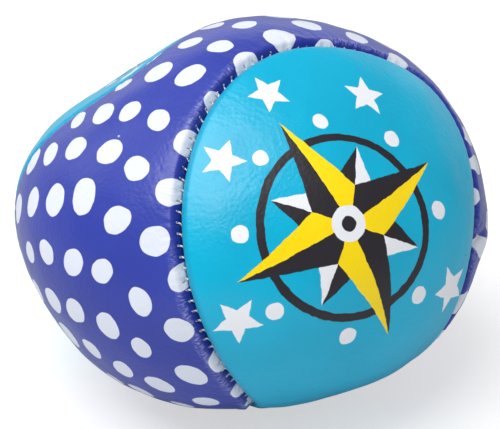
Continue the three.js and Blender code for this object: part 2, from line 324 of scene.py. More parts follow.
class Side(Enum):
    """The two panels, each with a lobe's direction, its waist's direction and where its rings start."""

    TURQUOISE = ((1.0, 0.0, 0.0), (0.0, 0.0, -1.0), math.pi / 4, 1)
    DOTTED = ((0.0, 1.0, 0.0), (0.0, 0.0, 1.0), 3 * math.pi / 4, -1)

    @property
    def lobe(self) -> np.ndarray:
        """The direction of the middle of one lobe."""
        return np.array(self.value[0])

    @property
    def waist(self) -> np.ndarray:
        """The direction of the middle of the waist."""
        return np.array(self.value[1])

    @property
    def start(self) -> float:
        """Where on the seam the panel's rings start."""
        return self.value[2]

    @property
    def way(self) -> int:
        """Which way round the seam the panel's rings go."""
        return self.value[3]


@dataclass(frozen=True)
class Puckers:
    """How the thread draws the vinyl in: a hollow at each stitch, and fine wrinkles that fade away."""

    pull: float = 0.22 * MM
    hollow_length: float = 0.42 * MM
    hollow_width: float = 0.4 * MM
    weakest: float = 0.6
    spread: float = 0.8
    seed: int = 12
    wrinkle: float = 0.05 * MM
    fade: float = 1.9 * MM
    starts: tuple[float, float] = (0.2 * MM, 0.9 * MM)
    beats: tuple[tuple[float, float, float], ...] = ((1.0, 1.0, 0.0), (0.7, 0.61, 1.3), (0.6, 1.63, 0.4))

    def at(self, sewing: Sewing, stitch: np.ndarray, away: np.ndarray) -> np.ndarray:
        """Returns how far the vinyl is drawn in beside the seam, in metres.

        Args:
            sewing: The sizes of the seam.
            stitch: The place along the seam, counted in stitches.
            away: The distance from the seam, in metres.

        Returns:
            The depths, in metres.
        """
        beside = (stitch + 0.5) % 1 - 0.5
        along = beside * sewing.stitch_pitch / self.hollow_length
        across = (away - sewing.hole_distance) / self.hollow_width
        rng = np.random.default_rng(self.seed)
        strength = self.weakest + self.spread * rng.random(4 + int(abs(stitch).max()))
        pull = self.pull * strength[np.abs(np.round(stitch)).astype(int)] * np.exp(-(along**2) - across**2)
        fade = np.exp(-away / self.fade) * smooth_share(away, *self.starts)
        beats = sum(share * np.sin(2 * math.pi * stitch * rate + shift) for share, rate, shift in self.beats)
        return pull + self.wrinkle * fade * beats


@dataclass(frozen=True)
class Ripples:
    """Seeded long waves in all directions, for the unevenness of a surface."""

    seed: int
    height: float
    shortest: float
    longest: float
    count: int = 28

    def at(self, points: np.ndarray) -> np.ndarray:
        """Returns the height at each point, in metres.

        Args:
            points: The points, in metres.

        Returns:
            The heights, in metres.
        """
        rng = np.random.default_rng(self.seed)
        ways = unit(rng.normal(size=(self.count, 3)))
        sizes = 2 * np.pi / rng.uniform(self.shortest, self.longest, self.count)
        shifts = rng.uniform(0, 2 * np.pi, self.count)
        total = np.zeros(points.shape[:-1])
        for way, size, shift in zip(ways, sizes, shifts):
            total += np.sin((points @ way) * size + shift)
        return self.height * total / math.sqrt(self.count)


@dataclass(frozen=True)
class Dent:
    """A dent or a ridge in the vinyl, at a direction from the middle, longer one way than the other."""

    direction: tuple[float, float, float]
    long_way: tuple[float, float, float]
    half_length: float
    half_width: float
    depth: float

    def at(self, directions: np.ndarray, radius: float) -> np.ndarray:
        """Returns how deep the dent is at each unit direction, in metres.

        Args:
            directions: Unit directions from the middle of the bag.
            radius: The bag's mean radius, in metres.

        Returns:
            The depths, in metres.
        """
        middle = unit(np.array(self.direction))
        long_way = np.array(self.long_way)
        long_way = unit(long_way - middle * (long_way @ middle))
        short_way = np.cross(middle, long_way)
        along = directions @ long_way * radius
        across = directions @ short_way * radius
        near = np.where(directions @ middle > 0, 1.0, 0.0)
        fall = (along / self.half_length) ** 2 + (across / self.half_width) ** 2
        return near * self.depth * np.exp(-fall)


# At the right edge in the photo the dotted vinyl folds in, with a bulge above it and fine creases on a dot.
# The last one is a low ridge beside the seam at the top.
OUTWARD = (0.785, 0.62, 0.0)
FOLDS = (
    Dent((0.924, 0.383, 0.005), OUTWARD, 3.2 * MM, 0.65 * MM, 1.0 * MM),
    Dent((0.86, 0.495, -0.125), OUTWARD, 4 * MM, 1.6 * MM, 0.85 * MM),
    Dent((0.868, 0.492, -0.02), OUTWARD, 4 * MM, 1.7 * MM, -0.6 * MM),
    Dent((0.915, 0.395, 0.075), (0.785, 0.62, 0.35), 2 * MM, 0.22 * MM, 0.14 * MM),
    Dent((0.915, 0.395, 0.055), (0.785, 0.62, 0.1), 2 * MM, 0.22 * MM, 0.16 * MM),
    Dent((0.915, 0.395, 0.035), (0.785, 0.62, -0.2), 2 * MM, 0.22 * MM, 0.12 * MM),
    Dent((0.213, 0.16, 0.964), (0.79, 0.55, -0.27), 2.8 * MM, 0.5 * MM, -0.25 * MM),
)


# Meshes


class RingSheet:
    """Collects rings of points, each with its map coordinates, into one closed mesh."""

    def __init__(self) -> None:
        """Starts with no rings."""
        self.points: list[np.ndarray] = []
        self.corner_rows: list[np.ndarray] = []
        self.map_rows: list[dict[str, np.ndarray]] = []
        self.lining_rows: list[np.ndarray] = []
        self.count = 0

    def add(
        self, points: np.ndarray, maps: Mapping[str, np.ndarray], lining: float, midline: bool = False
    ) -> None:
        """Adds a ring.

        Args:
            points: The ring's points, without its first one again at the end.
            maps: For each map, one coordinate pair more than there are points.
            lining: 1 on the inside of a panel, 0 on its printed face.
            midline: Whether the ring's two halves share their points.
        """
        total = len(points)
        order = np.arange(total)
        if midline:
            order = np.minimum(order, total - order)
            points = points[: total // 2 + 1]
        self.points.append(points)
        self.corner_rows.append(self.count + order)
        self.map_rows.append(dict(maps))
        self.lining_rows.append(np.full(len(points), lining))
        self.count += len(points)

    def to_object(self, name: str) -> bpy.types.Object:
        """Returns a mesh object made of the rings, joined one to the next.

        Args:
            name: The object's name.

        Returns:
            The new object.
        """
        faces, loops = [], {key: [] for key in self.map_rows[0]}
        for row in range(len(self.corner_rows) - 1):
            first, second = self.corner_rows[row], self.corner_rows[row + 1]
            index = np.arange(len(first))
            after = (index + 1) % len(first)
            faces.append(np.stack([first[index], first[after], second[after], second[index]], 1))
            for key, parts in loops.items():
                low, high = self.map_rows[row][key], self.map_rows[row + 1][key]
                parts.append(np.stack([low[index], low[index + 1], high[index + 1], high[index]], 1))
        maps = {key: np.concatenate(parts) for key, parts in loops.items()}
        values = {"lining": np.concatenate(self.lining_rows)}
        return make_mesh(name, np.concatenate(self.points), np.concatenate(faces), maps, values)


def make_mesh(
    name: str,
    points: np.ndarray,
    quads: np.ndarray,
    maps: Mapping[str, np.ndarray],
    values: Mapping[str, np.ndarray],
) -> bpy.types.Object:
    """Makes a smooth mesh object from four-sided faces.

    Args:
        name: The object's name.
        points: The points, in metres.
        quads: Four point numbers for each face; a face may repeat one and is then a triangle.
        maps: For each map, a coordinate pair for each corner of each face.
        values: For each attribute, a value for each point.

    Returns:
        The new object, linked to the scene.
    """
    faces, corners = [], []
    for number, quad in enumerate(quads.tolist()):
        kept = [place for place in range(4) if quad[place] != quad[place - 1]]
        if len(kept) == len({quad[place] for place in kept}) > 2:
            faces.append([quad[place] for place in kept])
            corners.extend((number, place) for place in kept)
    mesh = bpy.data.meshes.new(name)
    mesh.from_pydata(points.tolist(), [], faces)
    rows, columns = np.array(corners).T
    for key, pairs in maps.items():
        layer = mesh.uv_layers.new(name=key)
        layer.uv.foreach_set("vector", pairs[rows, columns].astype(np.float32).ravel())
    for key, numbers in values.items():
        attribute = mesh.attributes.new(key, "FLOAT", "POINT")
        attribute.data.foreach_set("value", numbers.astype(np.float32))
    mesh.polygons.foreach_set("use_smooth", np.ones(len(mesh.polygons), dtype=bool))
    mesh.update()
    piece = bpy.data.objects.new(name, mesh)
    bpy.context.scene.collection.objects.link(piece)
    return piece


def mesh_arrays(piece: bpy.types.Object) -> tuple[np.ndarray, np.ndarray]:
    """Returns a piece's points and its faces, with a triangle's last corner named twice.

    Args:
        piece: The piece to read.

    Returns:
        The points, and four point numbers for each face.
    """
    points = np.array([vert.co[:] for vert in piece.data.vertices])
    corners = [list(face.vertices) for face in piece.data.polygons if len(face.vertices) < 5]
    for face in piece.data.polygons:
        if len(face.vertices) > 4:
            ring = list(face.vertices)
            corners.extend([ring[0], ring[place], ring[place + 1]] for place in range(1, len(ring) - 1))
    return points, np.array([face + face[-1:] * (4 - len(face)) for face in corners])


def repeat_mesh(name: str, copies: np.ndarray, quads: np.ndarray) -> bpy.types.Object:
    """Makes one object of many copies of a modelled shape.

    Args:
        name: The object's name.
        copies: The points of every copy, as copies by points by three.
        quads: The faces of one copy.

    Returns:
        The new object.
    """
    first = np.arange(len(copies))[:, None, None] * copies.shape[1]
    return make_mesh(name, copies.reshape(-1, 3), (quads[None] + first).reshape(-1, 4), {}, {})


@dataclass(frozen=True)
class FlatPattern:
    """Lays a panel out flat, as it was cut and printed, with little stretch."""

    lobe_angle: float = math.radians(70)
    blend_from: float = math.radians(20)
    blend_to: float = math.radians(55)
    reach_angle: float = math.radians(180)
    steps: int = 1001

    def lay_out(self, side: Side, body: BagBody, directions: np.ndarray) -> np.ndarray:
        """Returns flat coordinates in millimetres: along the panel from its waist, and across it.

        Args:
            side: The panel that is laid out.
            body: The bag's smooth surface.
            directions: Unit directions from the middle of the bag.

        Returns:
            A pair of coordinates for each direction.
        """
        over = np.cross(side.lobe, side.waist)
        turn = np.arctan2(directions @ side.lobe, directions @ side.waist)
        lean = np.arcsin(np.clip(directions @ over, -1, 1))
        away = np.abs(turn) - self.lobe_angle
        spread = np.arccos(np.clip(np.cos(lean) * np.cos(away), -1, 1))
        heading = np.arctan2(np.sin(lean), np.cos(lean) * np.sin(away))
        share = smooth_share(np.abs(turn), self.blend_from, self.blend_to)
        along = np.abs(turn) * (1 - share) + (self.lobe_angle + spread * np.cos(heading)) * share
        across = lean * (1 - share) + spread * np.sin(heading) * share
        angles = np.linspace(-self.reach_angle, self.reach_angle, self.steps)
        line = np.outer(np.cos(angles), side.waist) + np.outer(np.sin(angles), side.lobe)
        line = line * body.reach(line)[:, None]
        run = np.concatenate([[0], np.cumsum(np.linalg.norm(np.diff(line, axis=0), axis=1))])
        run -= np.interp(0, angles, run)
        lengths = np.interp(np.sign(turn) * along, angles, run)
        return np.stack([lengths / MM, across * body.reach(directions) / MM], -1)


@dataclass(frozen=True)
class DotLayout:
    """Where the printed dots lie on the flat panel, in millimetres: slanted rows that bow a little."""

    pattern: FlatPattern = FlatPattern()
    row_pitch: float = 7.04
    column_pitch: float = 5.58
    row_slant: float = 0.52
    first_along: float = -17.3
    first_across: float = -10.1
    bow: float = 0.02
    bow_middle: float = -2.0

    def maps(self, side: Side, body: BagBody, directions: np.ndarray) -> dict[str, np.ndarray]:
        """Returns the row and column of each place as a map; whole numbers are the middles of dots.

        Args:
            side: The panel that is laid out.
            body: The bag's smooth surface.
            directions: Unit directions from the middle of the bag.

        Returns:
            The map, by its name.
        """
        flat = self.pattern.lay_out(side, body, directions)
        along, across = flat[..., 0], flat[..., 1]
        row = (self.first_along - self.bow * (across - self.bow_middle) ** 2 - along) / self.row_pitch
        column = (across - self.first_across - self.row_slant * row) / self.column_pitch
        return {"Dots": np.stack([row, column], -1)}


@dataclass(frozen=True)
class RoseLayout:
    """Where a rose is printed on each lobe of the panel."""

    azimuth: float = math.radians(-20)
    elevation: float = math.radians(22)

    def maps(self, side: Side, body: BagBody, directions: np.ndarray) -> dict[str, np.ndarray]:
        """Returns each place's millimetres to the right of and above the middle of its lobe's rose.

        Args:
            side: The panel that is laid out.
            body: The bag's smooth surface.
            directions: Unit directions from the middle of the bag.

        Returns:
            The map, by its name.
        """
        lobe = np.where(directions @ side.lobe < 0, -1.0, 1.0)
        turned = directions * np.stack([lobe, lobe, np.ones_like(lobe)], -1)
        middle = way_from(self.azimuth, self.elevation)
        right = unit(np.cross([0.0, 0.0, 1.0], middle))
        upward = np.cross(middle, right)
        spread = np.arccos(np.clip(turned @ middle, -1, 1))
        heading = np.arctan2(turned @ upward, turned @ right)
        away = spread * body.reach(middle) / MM
        return {"Print": np.stack([away * np.cos(heading), away * np.sin(heading)], -1)}


# Shader maths

Number = Union[float, "Signal"]


class Signal:
    """A value in a material's node tree, for use in plain arithmetic."""

    def __init__(self, tree: "ShaderTree", socket: bpy.types.NodeSocket) -> None:
        """Keeps the socket and the tree that it belongs to."""
        self.tree = tree
        self.socket = socket

    def math(self, operation: str, *others: Number) -> "Signal":
        """Returns the result of a Math node on this value and the others."""
        return self.tree.add("ShaderNodeMath", {"operation": operation}, [self, *others])

    def __add__(self, other: Number) -> "Signal":
        """Returns the sum."""
        return self.math("ADD", other)

    def __radd__(self, other: float) -> "Signal":
        """Returns the sum, with a plain number first."""
        return self.math("ADD", other)

    def __sub__(self, other: Number) -> "Signal":
        """Returns the difference."""
        return self.math("SUBTRACT", other)

    def __rsub__(self, other: float) -> "Signal":
        """Returns the difference, with a plain number first."""
        return self.tree.add("ShaderNodeMath", {"operation": "SUBTRACT"}, [other, self])

    def __mul__(self, other: Number) -> "Signal":
        """Returns the product."""
        return self.math("MULTIPLY", other)

    def __rmul__(self, other: float) -> "Signal":
        """Returns the product, with a plain number first."""
        return self.math("MULTIPLY", other)

    def __truediv__(self, other: Number) -> "Signal":
        """Returns the quotient."""
        return self.math("DIVIDE", other)

    def __abs__(self) -> "Signal":
        """Returns the value without its sign."""
        return self.math("ABSOLUTE")

    def rise(self, low: float, high: float) -> "Signal":
        """Returns 0 at low, 1 at high and a smooth rise between; high may be below low."""
        inputs = {"Value": self, "From Min": low, "From Max": high}
        return self.tree.add("ShaderNodeMapRange", {"interpolation_type": "SMOOTHSTEP"}, inputs)


class ShaderTree:
    """A node tree of a material or of the surround, built up from signals."""

    def __init__(self, owner: bpy.types.Material | bpy.types.World) -> None:
        """Empties the owner's node tree.

        Args:
            owner: The material or the surround that owns the tree.
        """
        owner.use_nodes = True
        self.owner = owner
        self.nodes = owner.node_tree.nodes
        self.links = owner.node_tree.links
        self.nodes.clear()

    def add(
        self,
        kind: str,
        settings: Mapping[str, Any] | None = None,
        inputs: Sequence[Any] | Mapping[str, Any] = (),
        output: str | int | None = 0,
    ) -> Signal | None:
        """Adds a node.

        Args:
            kind: The node's type.
            settings: What is set on the node before its sockets.
            inputs: Values or signals for its sockets, in order or by name.
            output: The name or number of the socket to return, or None for a node without one.

        Returns:
            The chosen output, or None.
        """
        node = self.nodes.new(kind)
        for key, value in (settings or {}).items():
            setattr(node, key, value)
        pairs = inputs.items() if isinstance(inputs, Mapping) else enumerate(inputs)
        for key, value in pairs:
            if isinstance(value, Signal):
                self.links.new(value.socket, node.inputs[key])
            else:
                node.inputs[key].default_value = value
        return None if output is None else Signal(self, node.outputs[output])

    def split(self, vector: Signal) -> tuple[Signal, Signal, Signal]:
        """Returns a vector's three parts."""
        parts = self.add("ShaderNodeSeparateXYZ", None, [vector])
        return tuple(Signal(self, parts.socket.node.outputs[index]) for index in range(3))

    def join(self, x: Number, y: Number, z: Number = 0.0) -> Signal:
        """Returns a vector of three parts."""
        return self.add("ShaderNodeCombineXYZ", None, [x, y, z])

    def noise(self, vector: Signal, scale: float, detail: float = 2.0, output: str = "Fac") -> Signal:
        """Returns a soft noise from 0 to 1 at that scale."""
        inputs = {"Vector": vector, "Scale": scale, "Detail": detail}
        return self.add("ShaderNodeTexNoise", None, inputs, output)

    def picks(self, kind: str, inputs: Mapping[str, Any]) -> tuple[Signal, Signal, Signal]:
        """Returns three random numbers from 0 to 1 for each cell of a texture."""
        return self.split(self.add(kind, None, inputs, "Color"))

    def mix(self, share: Number, first: Any, second: Any) -> Signal:
        """Returns a colour between two colours."""
        inputs = {0: share, 6: self._whole(first), 7: self._whole(second)}
        return self.add("ShaderNodeMix", {"data_type": "RGBA"}, inputs, 2)

    @staticmethod
    def _whole(value: Any) -> Any:
        """Returns a socket's value, with an alpha where it is a plain colour."""
        return (*value, 1.0) if isinstance(value, tuple) and len(value) == 3 else value

    def bump(self, height: Signal, distance: float, normal: Signal | None = None) -> Signal:
        """Returns a normal bent by a height, in units of the distance.

        Args:
            height: The height, about 0 to 1.
            distance: The height in metres that 1 stands for.
            normal: The normal to start from, or None for the surface's own.

        Returns:
            The bent normal.
        """
        inputs: dict[str, Any] = {"Height": height, "Distance": distance, "Strength": 1.0}
        if normal is not None:
            inputs["Normal"] = normal
        return self.add("ShaderNodeBump", None, inputs)

    def finish(self, **inputs: Any) -> bpy.types.Material:
        """Ends the material in a Principled shader with these sockets, named with _ for a space.

        Args:
            inputs: Values or signals by the socket's name.

        Returns:
            The finished material.
        """
        named = {key.replace("_", " "): self._whole(value) for key, value in inputs.items()}
        shader = self.add("ShaderNodeBsdfPrincipled", None, named)
        self.add("ShaderNodeOutputMaterial", None, {"Surface": shader}, None)
        return self.owner

    def object_place(self) -> Signal:
        """Returns the place on the object, in metres."""
        return self.add("ShaderNodeTexCoord", None, (), "Object")

    def map_pair(self, name: str) -> tuple[Signal, Signal]:
        """Returns the two coordinates of one of the piece's own maps."""
        return self.split(self.add("ShaderNodeUVMap", {"uv_map": name}))[:2]

    def ray_is(self, kind: str) -> Signal:
        """Returns 1 for rays of that kind and 0 for all others."""
        return self.add("ShaderNodeLightPath", None, (), kind)


class VinylTree(ShaderTree):
    """A vinyl's node tree, with its place in metres, its stitch number and its millimetres from the seam."""

    def __init__(self, owner: bpy.types.Material) -> None:
        """Empties the owner's node tree and adds the signals that every vinyl reads.

        Args:
            owner: The material or the surround that owns the tree.
        """
        super().__init__(owner)
        self.place = self.object_place()
        self.stitch, self.away = self.map_pair("Seam")


def put_on(piece: bpy.types.Object, material: bpy.types.Material) -> None:
    """Gives the piece this material alone."""
    piece.data.materials.clear()
    piece.data.materials.append(material)


# Finishes


@dataclass(frozen=True)
class Lint:
    """Specks on the vinyl: pale lint and dark dirt, one in some of the cells of a scatter."""

    scale: float = 330.0
    speck_edge: tuple[float, float] = (0.09, 0.04)
    pale_picks: tuple[float, float] = (0.965, 0.975)
    dark_picks: tuple[float, float] = (0.02, 0.012)
    pale_share: float = 0.7
    dark_share: float = 0.6
    pale: Colour = srgb(245, 247, 250)
    dark: Colour = srgb(30, 40, 70)

    def lie_on(self, tree: VinylTree, colour: Signal) -> Signal:
        """Returns the colour with the specks over it.

        Args:
            tree: The node tree to build in.
            colour: The colour below.

        Returns:
            The speckled colour.
        """
        cells = {"Vector": tree.place, "Scale": self.scale, "Randomness": 1.0}
        speck = tree.add("ShaderNodeTexVoronoi", None, cells, "Distance").rise(*self.speck_edge)
        pick = tree.picks("ShaderNodeTexVoronoi", cells)[0]
        colour = tree.mix(speck * pick.rise(*self.pale_picks) * self.pale_share, colour, self.pale)
        return tree.mix(speck * pick.rise(*self.dark_picks) * self.dark_share, colour, self.dark)


@dataclass(frozen=True)
class Ridge:
    """The vinyl beside the seam, sized in millimetres: pulled needle holes painted dark as their shade, and
    pale streaks, partly stretched vinyl and partly painted highlight.
    """

    stitch_pitch: float = 1.45
    hole_share: float = 0.6
    hole_away: float = 0.36
    hole_drift: tuple[float, float] = (0.3, 0.2)
    hole_stretch: tuple[float, float] = (2.4, 1.3)
    hole_squash: float = 0.8
    hole_edge: tuple[float, float] = (0.22, 0.1)
    hole_picks: tuple[float, float] = (0.3, 0.5)
    # Pale streaks on the ridge: partly stretched vinyl, partly painted highlight.
    stretch_and_highlight_share: float = 0.6
    streak_run: float = 0.3
    streak_scale: float = 6.0
    streak_edge: tuple[float, float] = (0.4, 0.66)
    outer_edge: tuple[float, float] = (2.2, 1.2)
    inner_edge: tuple[float, float] = (0.6, 1.05)
    patch_scale: float = 90.0
    patch_edge: tuple[float, float] = (0.38, 0.6)

    def holes(self, tree: VinylTree) -> Signal:
        """Returns how far each place lies in the painted shade of open needle holes: some holes beside their
        stitches are open.

        Args:
            tree: The node tree to build in.

        Returns:
            0 beside the holes, up to hole_share in them.
        """
        stitch, near = tree.stitch, tree.stitch.math("ROUND")
        drift = tree.picks("ShaderNodeTexWhiteNoise", {"Vector": tree.join(near, 0.0)})
        along = (stitch - near - (drift[0] - 0.5) * self.hole_drift[0]) * self.stitch_pitch
        across = (tree.away - self.hole_away - drift[1] * self.hole_drift[1]) * self.hole_squash
        square = along * along * self.hole_stretch[0] + across * across * self.hole_stretch[1]
        hole_shade = square.math("SQRT").rise(*self.hole_edge)
        # The dark of the holes is painted shade.
        return hole_shade * drift[2].rise(*self.hole_picks) * self.hole_share

    def stretch_and_highlight_mask(self, tree: VinylTree) -> Signal:
        """Returns how pale the ridge is, partly from stretched vinyl and partly as painted highlight: in
        streaks square to the seam, in patches along it.

        Args:
            tree: The node tree to build in.

        Returns:
            0 to stretch_and_highlight_share.
        """
        away = tree.away
        run = tree.join(tree.stitch, away * self.streak_run)
        stretch_and_highlight = tree.noise(run, self.streak_scale, 4).rise(*self.streak_edge)
        patch = tree.noise(tree.place, self.patch_scale, 1).rise(*self.patch_edge)
        # The pale streaks are partly stretched vinyl and partly painted highlight on the ridge.
        return stretch_and_highlight * away.rise(*self.outer_edge) * away.rise(*self.inner_edge) * patch * self.stretch_and_highlight_share


@dataclass(frozen=True)
class VinylFinish:
    """Soft printed vinyl on a foam backing: half gloss, with fine grain, lint and pulled needle holes, and
    painted shade and highlight by the seam.
    """

    name: str
    base: Colour
    deep: Colour
    # Painted shade: the darker colour laid into the groove beside the seam.
    groove_shade_colour: Colour
    lining: Colour = srgb(226, 224, 216)
    # Painted shade: the dark inside open needle holes.
    hole_shade: Colour = srgb(18, 20, 38)
    # Painted highlight, partly stretched vinyl: the pale streaks on the ridge beside the seam.
    stretch_and_highlight: Colour = srgb(172, 176, 226)
    # Shine
    roughness: float = 0.31
    smear_scale: float = 140.0
    smear_share: float = 0.16
    ink_dullness: float = 0.08
    lining_dullness: float = 0.4
    specular: float = 0.42
    sheen: float = 0.08
    sheen_roughness: float = 0.35
    # Patches of the deeper colour, and the painted groove shade: its edge in millimetres from the seam and
    # its share
    deep_scale: float = 60.0
    deep_edge: tuple[float, float] = (0.35, 0.7)
    groove_shade_edge: tuple[float, float] = (1.25, 0.5)
    groove_shade_share: float = 0.85
    # Relief: heights in metres, and how far the puckers reach in millimetres
    grain: float = 0.07 * MM
    pucker: float = 0.12 * MM
    pucker_reach: tuple[float, float] = (3.6, 0.6)
    pucker_run: float = 0.14
    pucker_scale: float = 2.6
    leather_scale: float = 1900.0
    leather_softness: float = 0.6
    leather_share: float = 0.35
    fine_scale: float = 3300.0
    fine_share: float = 0.25
    soft_scale: float = 520.0
    soft_share: float = 0.7
    # What lies on it
    lint: Lint = Lint()
    ridge: Ridge = Ridge()

    def dress(self, piece: bpy.types.Object) -> None:
        """Gives the piece this finish.

        Args:
            piece: The piece to dress.
        """
        tree = VinylTree(bpy.data.materials.new(self.name))
        lining = tree.add("ShaderNodeAttribute", {"attribute_name": "lining"}, (), "Fac")
        printed, ink = self.print_over(tree, self.colour_with_groove_shade(tree))
        colour = tree.mix(lining, self.lint_highlight_and_hole_shade(tree, printed, ink), self.lining)
        smear = tree.noise(tree.place, self.smear_scale, 3)
        rough = self.roughness + (smear - 0.5) * self.smear_share
        rough = rough + ink * self.ink_dullness + lining * self.lining_dullness
        material = tree.finish(
            Base_Color=colour,
            Roughness=rough,
            Normal=self.relief(tree),
            Specular_IOR_Level=self.specular,
            Sheen_Weight=self.sheen,
            Sheen_Roughness=self.sheen_roughness,
        )
        put_on(piece, material)

    def colour_with_groove_shade(self, tree: VinylTree) -> Signal:
        """Returns the vinyl's own colour, a little uneven, with painted shade darkening it in the groove.

        Args:
            tree: The node tree to build in.

        Returns:
            The colour, with its painted groove shade.
        """
        patches = tree.noise(tree.place, self.deep_scale, 2).rise(*self.deep_edge)
        # The groove's darker colour is painted shade, where shade falls beside the seam.
        groove = tree.away.rise(*self.groove_shade_edge) * self.groove_shade_share
        return tree.mix(groove, tree.mix(patches, self.base, self.deep), self.groove_shade_colour)

    def print_over(self, tree: VinylTree, plain: Signal) -> tuple[Signal, Signal]:
        """Returns the colour with its print, and how much ink lies there; here there is none."""
        return plain, tree.away * 0.0

    def lint_highlight_and_hole_shade(self, tree: VinylTree, colour: Signal, ink: Signal) -> Signal:
        """Returns the colour with pale lint, dark specks, pale streaks on the ridge by the seam, partly
        stretched vinyl and partly painted highlight, and needle holes painted dark as their shade.

        Args:
            tree: The node tree to build in.
            colour: The colour with its print.
            ink: How much ink lies at each place.

        Returns:
            The colour with lint, painted highlight and painted shade.
        """
        colour = self.lint.lie_on(tree, colour)
        # Pale streaks on the ridge: partly stretched vinyl, partly painted highlight.
        colour = tree.mix(self.ridge.stretch_and_highlight_mask(tree) * (1 - ink), colour, self.stretch_and_highlight)
        # Open needle holes painted dark as their shade.
        return tree.mix(self.ridge.holes(tree), colour, self.hole_shade)

    def relief(self, tree: VinylTree) -> Signal:
        """Returns the surface's normal with its grain and its fine puckers.

        Args:
            tree: The node tree to build in.

        Returns:
            The normal.
        """
        cells = {"Vector": tree.place, "Scale": self.leather_scale, "Smoothness": self.leather_softness}
        leather = tree.add("ShaderNodeTexVoronoi", {"feature": "SMOOTH_F1"}, cells, "Distance")
        fine = tree.noise(tree.place, self.fine_scale, 2)
        soft = tree.noise(tree.place, self.soft_scale, 3)
        pulled = tree.noise(tree.join(tree.stitch, tree.away * self.pucker_run), self.pucker_scale, 3)
        height = leather * self.leather_share + fine * self.fine_share + soft * self.soft_share
        grain = tree.bump(height, self.grain)
        return tree.bump(pulled * tree.away.rise(*self.pucker_reach), self.pucker, grain)


@dataclass(frozen=True)
class DottedVinyl(VinylFinish):
    """The blue-violet vinyl with its rows of white dots."""

    layout: DotLayout = DotLayout()
    dot: Colour = srgb(219, 225, 238)
    dot_radius: float = 1.84
    dot_spread: float = 0.3
    drift: float = 1.1
    drift_scale: float = 105.0
    stray: float = 0.55
    ragged: float = 0.17
    ragged_scale: float = 620.0
    ink_edge: tuple[float, float] = (-0.03, 0.05)

    def print_over(self, tree: VinylTree, plain: Signal) -> tuple[Signal, Signal]:
        """Returns the colour with its dots, each a little off its place and uneven at its edge.

        Args:
            tree: The node tree to build in.
            plain: The vinyl's own colour, with its painted groove shade.

        Returns:
            The colour, and 1 where ink lies.
        """
        layout = self.layout
        row, column = tree.map_pair("Dots")
        cell = {"Vector": tree.join(row.math("ROUND"), column.math("ROUND"))}
        shift = tree.picks("ShaderNodeTexWhiteNoise", cell)
        uneven = tree.split(tree.noise(tree.place, self.ragged_scale, 1, "Color"))
        drift = tree.split(tree.noise(tree.place, self.drift_scale, 0, "Color"))
        rows, columns = row - row.math("ROUND"), column - column.math("ROUND")
        across = columns * layout.column_pitch + rows * layout.row_slant
        place_across = column * layout.column_pitch + row * layout.row_slant + layout.first_across
        along = rows * layout.row_pitch + across * (place_across - layout.bow_middle) * (2 * layout.bow)
        x = along + self.shifted(shift[0], drift[0], uneven[0])
        y = across + self.shifted(shift[1], drift[1], uneven[1])
        radius = self.dot_radius * (1 + (shift[2] - 0.5) * self.dot_spread)
        ink = (radius - (x * x + y * y).math("SQRT")).rise(*self.ink_edge)
        return tree.mix(ink, plain, self.dot), ink

    def shifted(self, shift: Signal, drift: Signal, uneven: Signal) -> Signal:
        """Returns how far a place of a dot is printed off the layout, in millimetres."""
        strayed = (shift - 0.5) * (2 * self.stray)
        return strayed + (drift - 0.5) * (2 * self.drift) + (uneven - 0.5) * (2 * self.ragged)


@dataclass(frozen=True)
class RosePrint:
    """The sizes of the printed compass rose and its loose stars, in millimetres."""

    turn: float = math.radians(14)
    long_tip: float = 16.0
    short_tip: float = 10.6
    notch: float = 5.1
    ring_radius: float = 11.6
    ring_width: float = 1.1
    hub_radius: float = 2.3
    pin_radius: float = 1.0
    beads: int = 8
    bead_radius: float = 1.15
    bead_ring: float = 14.2
    star_tip: float = 3.3
    star_notch: float = 1.5
    stars: tuple[tuple[float, float], ...] = (
        (-13.5, 12.5),
        (11.5, 15.5),
        (-16.0, -9.0),
        (14.5, -12.5),
        (-3.0, 20.5),
    )
    edge: float = 0.05
    ragged: float = 0.2
    ragged_scale: float = 700.0
    shade_edge: float = 0.015


